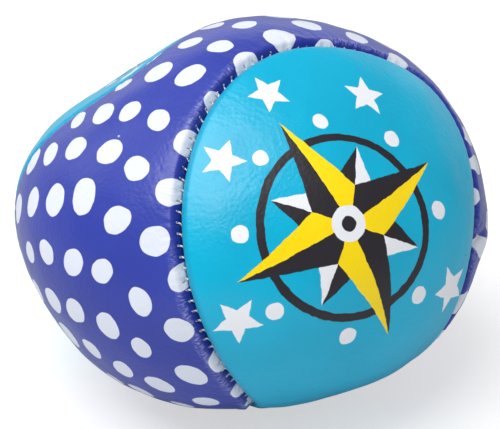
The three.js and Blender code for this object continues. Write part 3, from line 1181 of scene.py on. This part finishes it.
@dataclass(frozen=True)
class TurquoiseVinyl(VinylFinish):
    """The turquoise vinyl with a compass rose printed on each lobe."""

    rose: RosePrint = RosePrint()
    yellow: Colour = srgb(255, 222, 0)
    black: Colour = srgb(44, 41, 48)
    white: Colour = srgb(236, 239, 244)

    def print_over(self, tree: VinylTree, plain: Signal) -> tuple[Signal, Signal]:
        """Returns the colour with its print: a rose in yellow, black and white, and loose stars.

        Args:
            tree: The node tree to build in.
            plain: The vinyl's own colour, with its painted groove shade.

        Returns:
            The colour, and 1 where ink lies.
        """
        rose = self.rose
        right, upward = tree.map_pair("Print")
        uneven = tree.split(tree.noise(tree.place, rose.ragged_scale, 2, "Color"))
        x = right + (uneven[0] - 0.5) * 2 * rose.ragged
        y = upward + (uneven[1] - 0.5) * 2 * rose.ragged
        radius = (x * x + y * y).math("SQRT")
        angle = y.math("ARCTAN2", x) - rose.turn
        ring = self.ink(abs(radius - rose.ring_radius) - rose.ring_width / 2)
        short = self.ink(self.star(radius, angle + math.pi / 4, 4, rose.short_tip, rose.notch))
        long = self.ink(self.star(radius, angle, 4, rose.long_tip, rose.notch))
        shaded = (angle * 4).math("SINE").rise(-rose.shade_edge, rose.shade_edge)
        stars = self.ink(self.bead(radius, angle, rose.beads, rose.bead_ring) - rose.bead_radius)
        for star_x, star_y in rose.stars:
            from_x, from_y = x - star_x, y - star_y
            reach = (from_x * from_x + from_y * from_y).math("SQRT")
            turned = from_y.math("ARCTAN2", from_x) + star_x
            star = self.star(reach, turned, 5, rose.star_tip, rose.star_notch)
            stars = stars.math("MAXIMUM", self.ink(star))
        colour = tree.mix(stars, plain, self.white)
        colour = tree.mix(ring, colour, self.black)
        colour = tree.mix(short, colour, tree.mix(shaded, self.black, self.white))
        colour = tree.mix(long, colour, tree.mix(shaded, self.yellow, self.black))
        hub, pin = self.ink(radius - rose.hub_radius), self.ink(radius - rose.pin_radius)
        colour = tree.mix(pin, tree.mix(hub, colour, self.white), self.black)
        printed = stars.math("MAXIMUM", ring).math("MAXIMUM", short).math("MAXIMUM", long)
        return colour, printed

    def ink(self, outside: Signal) -> Signal:
        """Returns 1 where ink lies and 0 elsewhere, from the distance outside a shape's edge."""
        return outside.rise(self.rose.edge, -self.rose.edge)

    @staticmethod
    def star(radius: Signal, angle: Signal, points: int, tip: float, notch: float) -> Signal:
        """Returns how far outside a straight-edged star each place lies; inside is negative.

        Args:
            radius: The distance from the star's middle.
            angle: The angle round it.
            points: How many points the star has.
            tip: The distance of its tips.
            notch: The distance of its notches.

        Returns:
            The distances from the star's edges.
        """
        wedge = math.pi / points
        folded = abs((angle / (2 * wedge)).math("FRACT") - 0.5) * (2 * wedge)
        beside = wedge - folded
        notch_x, notch_y = notch * math.cos(wedge), notch * math.sin(wedge)
        length = math.hypot(tip - notch_x, notch_y)
        ahead, aside = radius * beside.math("COSINE"), radius * beside.math("SINE")
        return (ahead - tip) * (notch_y / length) + aside * ((tip - notch_x) / length)

    @staticmethod
    def bead(radius: Signal, angle: Signal, count: int, ring: float) -> Signal:
        """Returns the distance to the nearest of some beads spread evenly round a ring.

        Args:
            radius: The distance from the ring's middle.
            angle: The angle round it.
            count: How many beads there are.
            ring: The radius of the ring that they lie on.

        Returns:
            The distances from the beads' middles.
        """
        wedge = math.pi / count
        beside = ((angle / (2 * wedge)).math("FRACT") - 0.5) * (2 * wedge)
        ahead, aside = radius * beside.math("COSINE") - ring, radius * beside.math("SINE")
        return (ahead * ahead + aside * aside).math("SQRT")


TURQUOISE_VINYL = TurquoiseVinyl(
    name="turquoise_vinyl",
    base=srgb(0, 178, 217),
    deep=srgb(0, 170, 208),
    # The groove colour is painted shade.
    groove_shade_colour=srgb(0, 150, 190),
    ridge=Ridge(hole_share=0.0, stretch_and_highlight_share=0.0),
    pucker=0.02 * MM,
)
DOTTED_VINYL = DottedVinyl(
    name="dotted_vinyl",
    base=srgb(54, 68, 166),
    deep=srgb(48, 62, 160),
    # The groove colour is painted shade.
    groove_shade_colour=srgb(30, 44, 140),
)


@dataclass(frozen=True)
class ThreadFinish:
    """White twisted thread with a dull sheen."""

    name: str = "white_thread"
    colour: Colour = srgb(252, 252, 250)
    shade: Colour = srgb(222, 225, 232)
    depth: float = 0.04 * MM
    fuzz_scale: float = 5200.0
    roughness: float = 0.6
    fuzz_dullness: float = 0.2
    sheen: float = 0.3

    def dress(self, piece: bpy.types.Object) -> None:
        """Gives the piece this finish.

        Args:
            piece: The piece to dress.
        """
        tree = ShaderTree(bpy.data.materials.new(self.name))
        place = tree.object_place()
        fuzz = tree.noise(place, self.fuzz_scale, 2)
        colour = tree.mix(fuzz, self.shade, self.colour)
        normal = tree.bump(fuzz, self.depth)
        rough = self.roughness + fuzz * self.fuzz_dullness
        material = tree.finish(Base_Color=colour, Roughness=rough, Normal=normal, Sheen_Weight=self.sheen)
        put_on(piece, material)


@dataclass(frozen=True)
class PelletFinish:
    """Cloudy plastic pellets, half matte, each of a slightly different shade."""

    name: str = "plastic_pellets"
    colour: Colour = srgb(224, 221, 210)
    shade: Colour = srgb(196, 192, 180)
    cell_scale: float = 280.0
    cell_share: float = 0.6
    mottle_scale: float = 900.0
    mottle_depth: float = 0.03 * MM
    mottle_dullness: float = 0.2
    roughness: float = 0.42

    def dress(self, piece: bpy.types.Object) -> None:
        """Gives the piece this finish.

        Args:
            piece: The piece to dress.
        """
        tree = ShaderTree(bpy.data.materials.new(self.name))
        place = tree.object_place()
        cells = {"Vector": place, "Scale": self.cell_scale}
        pick = tree.picks("ShaderNodeTexVoronoi", cells)[0]
        mottle = tree.noise(place, self.mottle_scale, 3)
        share = pick * self.cell_share + mottle * (1 - self.cell_share)
        colour = tree.mix(share, self.shade, self.colour)
        normal = tree.bump(mottle, self.mottle_depth)
        rough = self.roughness + mottle * self.mottle_dullness
        material = tree.finish(Base_Color=colour, Roughness=rough, Normal=normal)
        put_on(piece, material)


# Pieces


@dataclass
class VinylPanel:
    """One panel: a thin curved shell, printed outside and lined inside, with its edge turned in."""

    name: str
    side: Side
    slot: str
    finish: VinylFinish
    body: BagBody
    seam: SeamLine
    sewing: Sewing
    layout: DotLayout | RoseLayout
    samples: int = 1440
    edge_distances: tuple[float, ...] = (
        *(0.15, 0.22, 0.32, 0.45, 0.6, 0.78, 0.98, 1.2, 1.45, 1.72),
        *(2.02, 2.36, 2.72),
    )
    inner_rings: int = 22
    lining_shares: tuple[float, ...] = (0.15, 0.3, 0.45, 0.6, 0.8, 1.0)
    midline_reach: float = math.radians(112)
    midline_even_share: float = 0.3
    ring_crowding: float = 1.2
    puckers: Puckers = Puckers()
    ripples: tuple[Ripples, ...] = (
        Ripples(seed=5, height=0.1 * MM, shortest=9 * MM, longest=20 * MM),
        Ripples(seed=8, height=0.025 * MM, shortest=3.4 * MM, longest=6 * MM),
    )
    calm_beside_seam: tuple[float, float] = (0.5 * MM, 3 * MM)
    calm_at_rest: tuple[float, float] = (-0.97, -0.8)
    dents: tuple[Dent, ...] = ()
    turned_shares: tuple[float, float] = (0.55, 0.6)

    def build(self) -> bpy.types.Object:
        """Returns the finished panel.

        Returns:
            The panel, dressed and attached to the root.
        """
        t = self.side.start + self.side.way * 2 * math.pi * np.arange(self.samples + 1) / self.samples
        middle = self._midline(t)
        edge_reach = self.edge_distances[-1] * MM
        edge = self._edge_ring(t, edge_reach, middle)
        sheet = RingSheet()
        numbers = range(1, self.inner_rings + 1)
        inner = [(number / self.inner_rings) ** self.ring_crowding for number in numbers]
        for share in reversed(inner):
            directions, away = self._between(edge, middle, share, edge_reach)
            self._add_ring(sheet, t, directions, away, self._relief(t, directions, away), 0.0, share == 1)
        for distance in reversed(self.edge_distances):
            directions = self._edge_ring(t, distance * MM, middle)
            away = np.full(len(t), distance * MM)
            depth = self.sewing.groove(away) + self._relief(t, directions, away)
            self._add_ring(sheet, t, directions, away, depth, 0.0)
        self._add_turned_edge(sheet, t, edge, middle, edge_reach)
        piece = sheet.to_object(self.name)
        self.finish.dress(piece)
        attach(piece, ROOT)
        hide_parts(self.name)
        return piece

    def _midline(self, t: np.ndarray) -> np.ndarray:
        """Returns the panel's middle line, from lobe to lobe through the waist.

        Args:
            t: Where along the seam, as angles from 0 to a whole turn.

        Returns:
            Unit directions.
        """
        turn = np.arccos(np.clip(np.cos(t - self.side.start), -1, 1))
        even = 1 - 2 * turn / math.pi
        share = np.cos(turn) * (1 - self.midline_even_share) + even * self.midline_even_share
        angle = self.midline_reach * share
        return np.outer(np.cos(angle), self.side.waist) + np.outer(np.sin(angle), self.side.lobe)

    def _edge_ring(self, t: np.ndarray, distance: float, middle: np.ndarray) -> np.ndarray:
        """Returns directions at one distance beside the seam."""
        turn = distance / self.body.reach(self.seam.direction(t))
        return self.seam.beside(t, turn, middle)

    def _between(
        self, edge: np.ndarray, middle: np.ndarray, share: float, edge_reach: float
    ) -> tuple[np.ndarray, np.ndarray]:
        """Returns directions between the edge zone and the middle line, and their distance from the seam.

        Args:
            edge: The directions of the edge zone's inner border.
            middle: The middle line's directions, one for each place of the border.
            share: How far to go, 0 at the border and 1 at the middle line.
            edge_reach: The width of the edge zone, in metres.

        Returns:
            Unit directions, and the distances in metres.
        """
        directions = middle if share == 1 else unit(edge * (1 - share) + middle * share)
        turn = np.arccos(np.clip(np.sum(edge * directions, -1), -1, 1))
        return directions, edge_reach + turn * self.body.radius

    def _relief(self, t: np.ndarray, directions: np.ndarray, away: np.ndarray) -> np.ndarray:
        """Returns how far the vinyl lies below the smooth surface, from its waves, puckers and dents.

        Args:
            t: Where along the seam, as angles from 0 to a whole turn.
            directions: Unit directions from the middle of the bag.
            away: The distance from the seam, in metres.

        Returns:
            The depths, in metres.
        """
        stitch = self.sewing.phase(self.body, self.seam, t)
        puckered = self.puckers.at(self.sewing, stitch, away)
        uneven = sum(ripple.at(directions * self.body.radius) for ripple in self.ripples)
        height = directions[..., 2]
        calm = smooth_share(away, *self.calm_beside_seam) * smooth_share(height, *self.calm_at_rest)
        dents = sum(dent.at(directions, self.body.radius) for dent in self.dents)
        return puckered - uneven * calm + dents

    def _add_turned_edge(
        self, sheet: RingSheet, t: np.ndarray, edge: np.ndarray, middle: np.ndarray, edge_reach: float
    ) -> None:
        """Adds the edge that turns inward along the seam, and the lined inside.

        Args:
            sheet: The mesh to add to.
            t: Where along the seam, as angles from 0 to a whole turn.
            edge: The directions of the edge zone's inner border.
            middle: The middle line's directions, one for each place of the border.
            edge_reach: The width of the edge zone, in metres.
        """
        sewing = self.sewing
        half = sewing.gap / 2
        bottom = sewing.groove_depth + sewing.allowance
        thick = sewing.panel_thickness
        for distance, depth, lining in (
            (half, self.turned_shares[0] * bottom, 0.0),
            (half, bottom, 0.5),
            (half + thick, bottom, 1.0),
            (half + thick, self.turned_shares[1] * bottom, 1.0),
            (half + thick, sewing.groove_depth + thick, 1.0),
        ):
            directions = self._edge_ring(t, distance, middle)
            away = np.full(len(t), distance)
            self._add_ring(sheet, t, directions, away, np.full(len(t), depth), lining)
        away = np.full(len(t), edge_reach)
        self._add_ring(sheet, t, edge, away, np.full(len(t), thick), 1.0)
        for share in self.lining_shares:
            directions, away = self._between(edge, middle, share, edge_reach)
            self._add_ring(sheet, t, directions, away, np.full(len(t), thick), 1.0, share == 1)

    def _add_ring(
        self,
        sheet: RingSheet,
        t: np.ndarray,
        directions: np.ndarray,
        away: np.ndarray,
        depth: np.ndarray,
        lining: float,
        midline: bool = False,
    ) -> None:
        """Adds one ring of the shell, with its place on the flat panel and beside the seam.

        Args:
            sheet: The mesh to add to.
            t: Where along the seam, as angles from 0 to a whole turn.
            directions: Unit directions from the middle of the bag.
            away: The distance from the seam, in metres.
            depth: How far below the smooth surface each point lies, in metres.
            lining: 1 on the lined inside, 0 on the printed face.
            midline: Whether the ring's two halves share their points.
        """
        points = self.body.place(directions, depth)
        stitch = self.sewing.phase(self.body, self.seam, t)
        maps = self.layout.maps(self.side, self.body, directions)
        maps["Seam"] = np.stack([stitch, away / MM], -1)
        sheet.add(points[:-1], maps, lining, midline)


@dataclass
class SeamThread:
    """The white thread: small slanted stitches in the groove, each with its hidden run to the next."""

    body: BagBody
    seam: SeamLine
    sewing: Sewing
    finish: ThreadFinish = ThreadFinish()
    name: str = "seam_thread"
    # The modelled stitch; its feet lie beside the seam, the positive one on the dotted panel
    sides: int = 6
    arch_steps: int = 6
    near_foot: float = -0.08 * MM
    far_foot: float = 0.42 * MM
    arch_height: float = 0.22 * MM
    foot_depth: float = 0.9 * MM
    # How the stitches differ from each other
    slant: float = 0.7
    slant_spread: float = 0.16
    height_shares: tuple[float, float] = (0.75, 0.4)
    height_limits: tuple[float, float] = (0.1, 1.5)
    sideways_spread: float = 0.06 * MM
    overlap: float = 0.02
    measure_steps: int = 6001
    seed: int = 31

    def build(self) -> bpy.types.Object:
        """Returns the finished thread.

        Returns:
            The thread, dressed and attached to the root.
        """
        stitch = self._stitch()
        points, quads = mesh_arrays(stitch)
        bpy.data.objects.remove(stitch)
        copies = self._lay_along_seam(points)
        piece = repeat_mesh(self.name, copies, quads)
        self.finish.dress(piece)
        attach(piece, ROOT)
        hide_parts("seam_thread")
        return piece

    def _stitch(self) -> bpy.types.Object:
        """Returns one stitch: an arch across the seam (Y), two feet down (Z) and a run along it (X).

        Returns:
            The stitch, straight and flat.
        """
        middle = (self.near_foot + self.far_foot) / 2
        span = self.far_foot - self.near_foot
        bpy.ops.object.select_all(action="DESELECT")
        bpy.ops.mesh.primitive_circle_add(
            vertices=self.sides,
            radius=self.sewing.thread_diameter / 2,
            fill_type="NGON",
            location=(0, self.near_foot, -self.foot_depth),
        )
        stitch = bpy.context.active_object
        bpy.ops.object.mode_set(mode="EDIT")
        bpy.ops.mesh.select_all(action="SELECT")
        bpy.ops.mesh.extrude_region_move(TRANSFORM_OT_translate={"value": (0, 0, self.foot_depth)})
        bpy.ops.mesh.spin(steps=self.arch_steps, angle=-math.pi, center=(0, middle, 0), axis=(1, 0, 0))
        bpy.ops.mesh.extrude_region_move(TRANSFORM_OT_translate={"value": (0, 0, -self.foot_depth)})
        run = (self.sewing.stitch_pitch, -span, 0)
        bpy.ops.mesh.extrude_region_move(TRANSFORM_OT_translate={"value": run})
        bpy.ops.mesh.select_all(action="SELECT")
        bpy.ops.mesh.remove_doubles(threshold=0.001 * MM)
        bpy.ops.mesh.normals_make_consistent(inside=False)
        bpy.ops.object.mode_set(mode="OBJECT")
        bpy.ops.object.transform_apply(location=True, rotation=True, scale=True)
        flatten = self.arch_height / (span / 2)
        for vert in stitch.data.vertices:
            if vert.co.z > 0:
                vert.co.z *= flatten
        return stitch

    def _lay_along_seam(self, points: np.ndarray) -> np.ndarray:
        """Returns the stitch's points for every stitch, bent to follow the seam.

        Args:
            points: The points of the one modelled stitch.

        Returns:
            Points, as stitches by points by three.
        """
        count = self.sewing.stitches(self.body, self.seam)
        rng = np.random.default_rng(self.seed)
        number = np.arange(count)[:, None]
        lean = self.slant + self.slant_spread * rng.normal(size=(count, 1))
        usual, spread = self.height_shares
        height = np.clip(usual + spread * rng.normal(size=(count, 1)), *self.height_limits)
        shift = self.sideways_spread * rng.normal(size=(count, 1))
        x, y, z = points.T
        high = (z > -self.foot_depth / 2)[None, :]
        along = number + (x + np.where(high, lean * y, self.slant * y)) / self.sewing.stitch_pitch
        across = y + np.where(high, shift, 0)
        lift = np.where(z > 0, z * height, z)
        shares = np.linspace(-self.overlap, 1 + self.overlap, self.measure_steps)
        fine = self.seam.start + 2 * math.pi * shares
        t = np.interp(along, self.sewing.phase(self.body, self.seam, fine), fine)
        foot = self.sewing.groove(np.maximum(np.abs(across), self.sewing.gap))
        depth = foot - lift
        seam = self.seam.direction(t)
        turn = across * self.seam.dotted_way / self.body.reach(seam)
        directions = seam * np.cos(turn)[..., None] + self.seam.across(t) * np.sin(turn)[..., None]
        return self.body.place(unit(directions), depth)


@dataclass
class PelletFilling:
    """The loose pellets below the ones that are modelled singly, packed as they settle."""

    finish: PelletFinish = PelletFinish()
    name: str = "pellet_filling"
    diameter: float = 3.2 * MM
    spacing: float = 3.34 * MM
    jitter: float = 0.05 * MM
    segments: int = 8
    rings: int = 4
    flatness: float = 0.92
    ray_way: tuple[float, float, float] = (0.11, 0.23, 0.97)
    ray_step: float = 0.001 * MM
    seed: int = 3

    def build(self) -> bpy.types.Object:
        """Returns the finished filling as one piece.

        Returns:
            The filling, dressed and attached to the root.
        """
        pellet = self._pellet()
        points, quads = mesh_arrays(pellet)
        bpy.data.objects.remove(pellet)
        places = np.array(self._places())
        rng = np.random.default_rng(self.seed)
        turns = [Matrix.Rotation(rng.uniform(0, math.pi), 3, Vector(rng.normal(size=3))) for _ in places]
        copies = np.einsum("nij,vj->nvi", np.array(turns), points) + places[:, None]
        piece = repeat_mesh(self.name, copies, quads)
        self.finish.dress(piece)
        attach(piece, ROOT)
        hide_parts("pellet_filling")
        LOG.info("the filling holds %d loose pellets", len(places))
        return piece

    def _pellet(self) -> bpy.types.Object:
        """Returns one pellet, a slightly flattened ball, at the origin.

        Returns:
            The pellet.
        """
        bpy.ops.object.select_all(action="DESELECT")
        bpy.ops.mesh.primitive_uv_sphere_add(
            segments=self.segments, ring_count=self.rings, radius=self.diameter / 2, location=(0, 0, 0)
        )
        pellet = bpy.context.active_object
        bpy.ops.object.mode_set(mode="EDIT")
        bpy.ops.mesh.select_all(action="SELECT")
        bpy.ops.transform.resize(value=(1.0, 1.0, self.flatness))
        bpy.ops.mesh.normals_make_consistent(inside=False)
        bpy.ops.object.mode_set(mode="OBJECT")
        return pellet

    def _places(self) -> list[Vector]:
        """Returns where the pellets lie: close rows inside the lining and below the single pellets.

        Returns:
            The middles of the pellets.
        """
        low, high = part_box("pellet_filling")
        shape = BVHTree.FromObject(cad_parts[self.name], bpy.context.evaluated_depsgraph_get())
        rng = np.random.default_rng(self.seed)
        row_step = self.spacing * math.sqrt(3) / 2
        layer_step = self.spacing * math.sqrt(2 / 3)
        layers, rows = int((high.z - low.z) / layer_step), int((high.y - low.y) / row_step)
        columns = int((high.x - low.x) / self.spacing)
        places = []
        for layer, row, column in itertools.product(range(layers + 1), range(rows + 1), range(columns + 1)):
            x = column * self.spacing + self.spacing / 2 * ((row + layer) % 2)
            y = row * row_step + row_step / 3 * (layer % 2)
            z = layer * layer_step + self.diameter / 2
            point = low + Vector((x, y, z)) + Vector(rng.uniform(-self.jitter, self.jitter, 3))
            if self._fits(shape, point):
                places.append(point)
        return places

    def _fits(self, shape: BVHTree, point: Vector) -> bool:
        """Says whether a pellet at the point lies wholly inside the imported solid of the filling.

        Args:
            shape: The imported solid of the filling.
            point: The middle of the pellet.

        Returns:
            True where it does.
        """
        if shape.find_nearest(point)[3] < self.diameter / 2:
            return False
        way, inside = Vector(self.ray_way), False
        found = shape.ray_cast(point, way)[0]
        while found is not None:
            inside = not inside
            found = shape.ray_cast(found + way * self.ray_step, way)[0]
        return inside


# Studio


@dataclass(frozen=True)
class SoftLamp:
    """A square soft light that faces the bag, by its direction, distance, size and power."""

    name: str
    azimuth: float
    elevation: float
    distance: float
    size: float
    power: float

    def build(self, target: Vector) -> None:
        """Makes the light.

        Args:
            target: The point that the light faces.
        """
        data = bpy.data.lights.new(self.name, "AREA")
        data.shape = "SQUARE"
        data.size = self.size
        data.energy = self.power
        way = Vector(way_from(self.azimuth, self.elevation))
        lamp = bpy.data.objects.new(self.name, data)
        lamp.location = target + way * self.distance
        lamp.rotation_euler = (-way).to_track_quat("-Z", "Y").to_euler()
        bpy.context.scene.collection.objects.link(lamp)


@dataclass(frozen=True)
class Studio:
    """A pale floor, soft lights and a white surround."""

    # The floor: its colour as it lights the bag, as the camera sees it and as the vinyl mirrors it
    floor_half: float = 1.2
    floor_colour: Colour = (0.88, 0.88, 0.88)
    floor_seen: Colour = (0.5, 0.5, 0.5)
    floor_glow: Colour = (0.58, 0.58, 0.58)
    floor_gleam: Colour = (0.45, 0.45, 0.45)
    floor_grain_scale: float = 30.0
    floor_grain_shade: float = 0.985
    floor_roughness: float = 0.9
    # The surround: fills are its light, the gleam is what the vinyl mirrors of the room
    sky_fill: float = 0.52
    room_fill: float = 0.22
    room_gleam: float = 0.12
    room_edge: tuple[float, float] = (0.1, 0.75)
    backdrop_edge: tuple[float, float] = (-0.3, -0.8)
    lamps: tuple[SoftLamp, ...] = (
        SoftLamp("key_light", math.radians(-92), math.radians(68), 0.7, 0.55, 5.3),
        SoftLamp("left_light", math.radians(-165), math.radians(30), 0.9, 0.5, 1.0),
    )

    def build(self, middle: np.ndarray, toward_room: Vector) -> None:
        """Makes the floor, the lights and the surround.

        Args:
            middle: The middle of the bag, which the lights face.
            toward_room: The direction from the bag to the room behind the camera.
        """
        self._floor()
        self._surround(toward_room)
        for lamp in self.lamps:
            lamp.build(Vector(middle))

    def _floor(self) -> None:
        """Makes the plain floor, which shows white to the camera away from its shadows."""
        bpy.ops.object.select_all(action="DESELECT")
        bpy.ops.mesh.primitive_plane_add(size=2 * self.floor_half, location=(0, 0, 0))
        floor = bpy.context.active_object
        floor.name = "floor"
        tree = ShaderTree(bpy.data.materials.new("pale_floor"))
        place = tree.object_place()
        grain = tree.noise(place, self.floor_grain_scale, 2)
        seen, mirrored = tree.ray_is("Is Camera Ray"), tree.ray_is("Is Glossy Ray")
        shade = tuple(value * self.floor_grain_shade for value in self.floor_colour)
        lit = tree.mix(grain, self.floor_colour, shade)
        colour = tree.mix(seen, tree.mix(mirrored, lit, self.floor_gleam), self.floor_seen)
        glow = tree.mix(seen, (0.0, 0.0, 0.0), self.floor_glow)
        material = tree.finish(
            Base_Color=colour,
            Roughness=self.floor_roughness,
            Specular_IOR_Level=0.0,
            Emission_Color=glow,
            Emission_Strength=1.0,
        )
        floor.data.materials.append(material)

    def _surround(self, toward_room: Vector) -> None:
        """Makes the surround: a white backdrop, softer as light, and a dim room round the camera.

        Args:
            toward_room: The direction from the bag to the room behind the camera.
        """
        world = bpy.data.worlds.new("studio")
        tree = ShaderTree(world)
        way = tree.add("ShaderNodeTexCoord", None, (), "Generated")
        facing = tree.add("ShaderNodeVectorMath", {"operation": "DOT_PRODUCT"}, [way, toward_room], "Value")
        room = facing.rise(*self.room_edge)
        seen, mirrored = tree.ray_is("Is Camera Ray"), tree.ray_is("Is Glossy Ray")
        light = room * (self.room_fill - self.sky_fill) + self.sky_fill
        gleam = facing.rise(*self.backdrop_edge) * (1 - self.room_gleam) + self.room_gleam
        strength = (gleam * mirrored + light * (1 - mirrored)) * (1 - seen) + seen
        background = tree.add("ShaderNodeBackground", None, {"Color": (1, 1, 1, 1), "Strength": strength})
        tree.add("ShaderNodeOutputWorld", None, {"Surface": background}, None)
        bpy.context.scene.world = world


@dataclass(frozen=True)
class Viewpoint:
    """The camera of the photograph, aimed at the middle of the bag."""

    azimuth: float = math.radians(-51.7)
    elevation: float = math.radians(29.3)
    distance: float = 15 * 28.3 * MM
    pixels_per_radius: float = 213.6
    middle_x: float = 234.7
    middle_y: float = 209.7
    sensor: float = 36.0

    @property
    def outward(self) -> Vector:
        """The direction from the bag to the camera."""
        return Vector(way_from(self.azimuth, self.elevation))

    def build(self, body: BagBody) -> None:
        """Makes the camera and sets it as the scene's own.

        Args:
            body: The bag's smooth surface.
        """
        out = self.outward
        data = bpy.data.cameras.new("photo_camera")
        focal_pixels = self.pixels_per_radius / body.radius * self.distance
        data.sensor_width = self.sensor
        data.lens = focal_pixels * self.sensor / PHOTO_WIDTH
        data.shift_x = (PHOTO_WIDTH / 2 - self.middle_x) / PHOTO_WIDTH
        data.shift_y = (self.middle_y - PHOTO_HEIGHT / 2) / PHOTO_WIDTH
        data.clip_start = 0.01
        camera = bpy.data.objects.new("photo_camera", data)
        camera.location = Vector(body.middle()) + out * self.distance
        camera.rotation_euler = (-out).to_track_quat("-Z", "Y").to_euler()
        bpy.context.scene.collection.objects.link(camera)
        bpy.context.scene.camera = camera


# The whole


def dress_single_pellets(finish: PelletFinish) -> None:
    """Gives the pellets that are modelled singly the pellets' finish.

    Args:
        finish: The pellets' finish.
    """
    singles = [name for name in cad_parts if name.startswith("pellet_") and name != "pellet_filling"]
    finish.dress(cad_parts[singles[0]])
    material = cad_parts[singles[0]].data.materials[0]
    for name in singles:
        put_on(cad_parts[name], material)
        LOG.info("dressed %s", name)


def main() -> None:
    """Builds the footbag, its surroundings and its camera."""
    logging.basicConfig(level=logging.INFO, format="%(name)s: %(message)s")
    bpy.context.scene.view_settings.view_transform = "Standard"
    body, seam, sewing = BagBody(), SeamLine(), Sewing()
    high_edge = replace(sewing, groove_depth=0.35 * MM, groove_half_width=1.0 * MM, roll=0.3 * MM)
    smooth_puckers = Puckers(wrinkle=0.008 * MM, pull=0.05 * MM)
    view = Viewpoint()
    pieces = [
        VinylPanel(
            name="turquoise_panel",
            side=Side.TURQUOISE,
            slot="turquoise_vinyl",
            finish=TURQUOISE_VINYL,
            body=body,
            seam=seam,
            sewing=high_edge,
            layout=RoseLayout(),
            puckers=smooth_puckers,
        ).build(),
        VinylPanel(
            name="dotted_panel",
            side=Side.DOTTED,
            slot="dotted_vinyl",
            finish=DOTTED_VINYL,
            body=body,
            seam=seam,
            sewing=sewing,
            layout=DotLayout(),
            dents=FOLDS,
        ).build(),
        SeamThread(body, seam, sewing).build(),
        PelletFilling().build(),
    ]
    for piece in pieces:
        LOG.info("made %s: %d faces", piece.name, len(piece.data.polygons))
    dress_single_pellets(PelletFinish())
    Studio().build(body.middle(), view.outward)
    view.build(body)


if __name__ == "__main__":
    main()
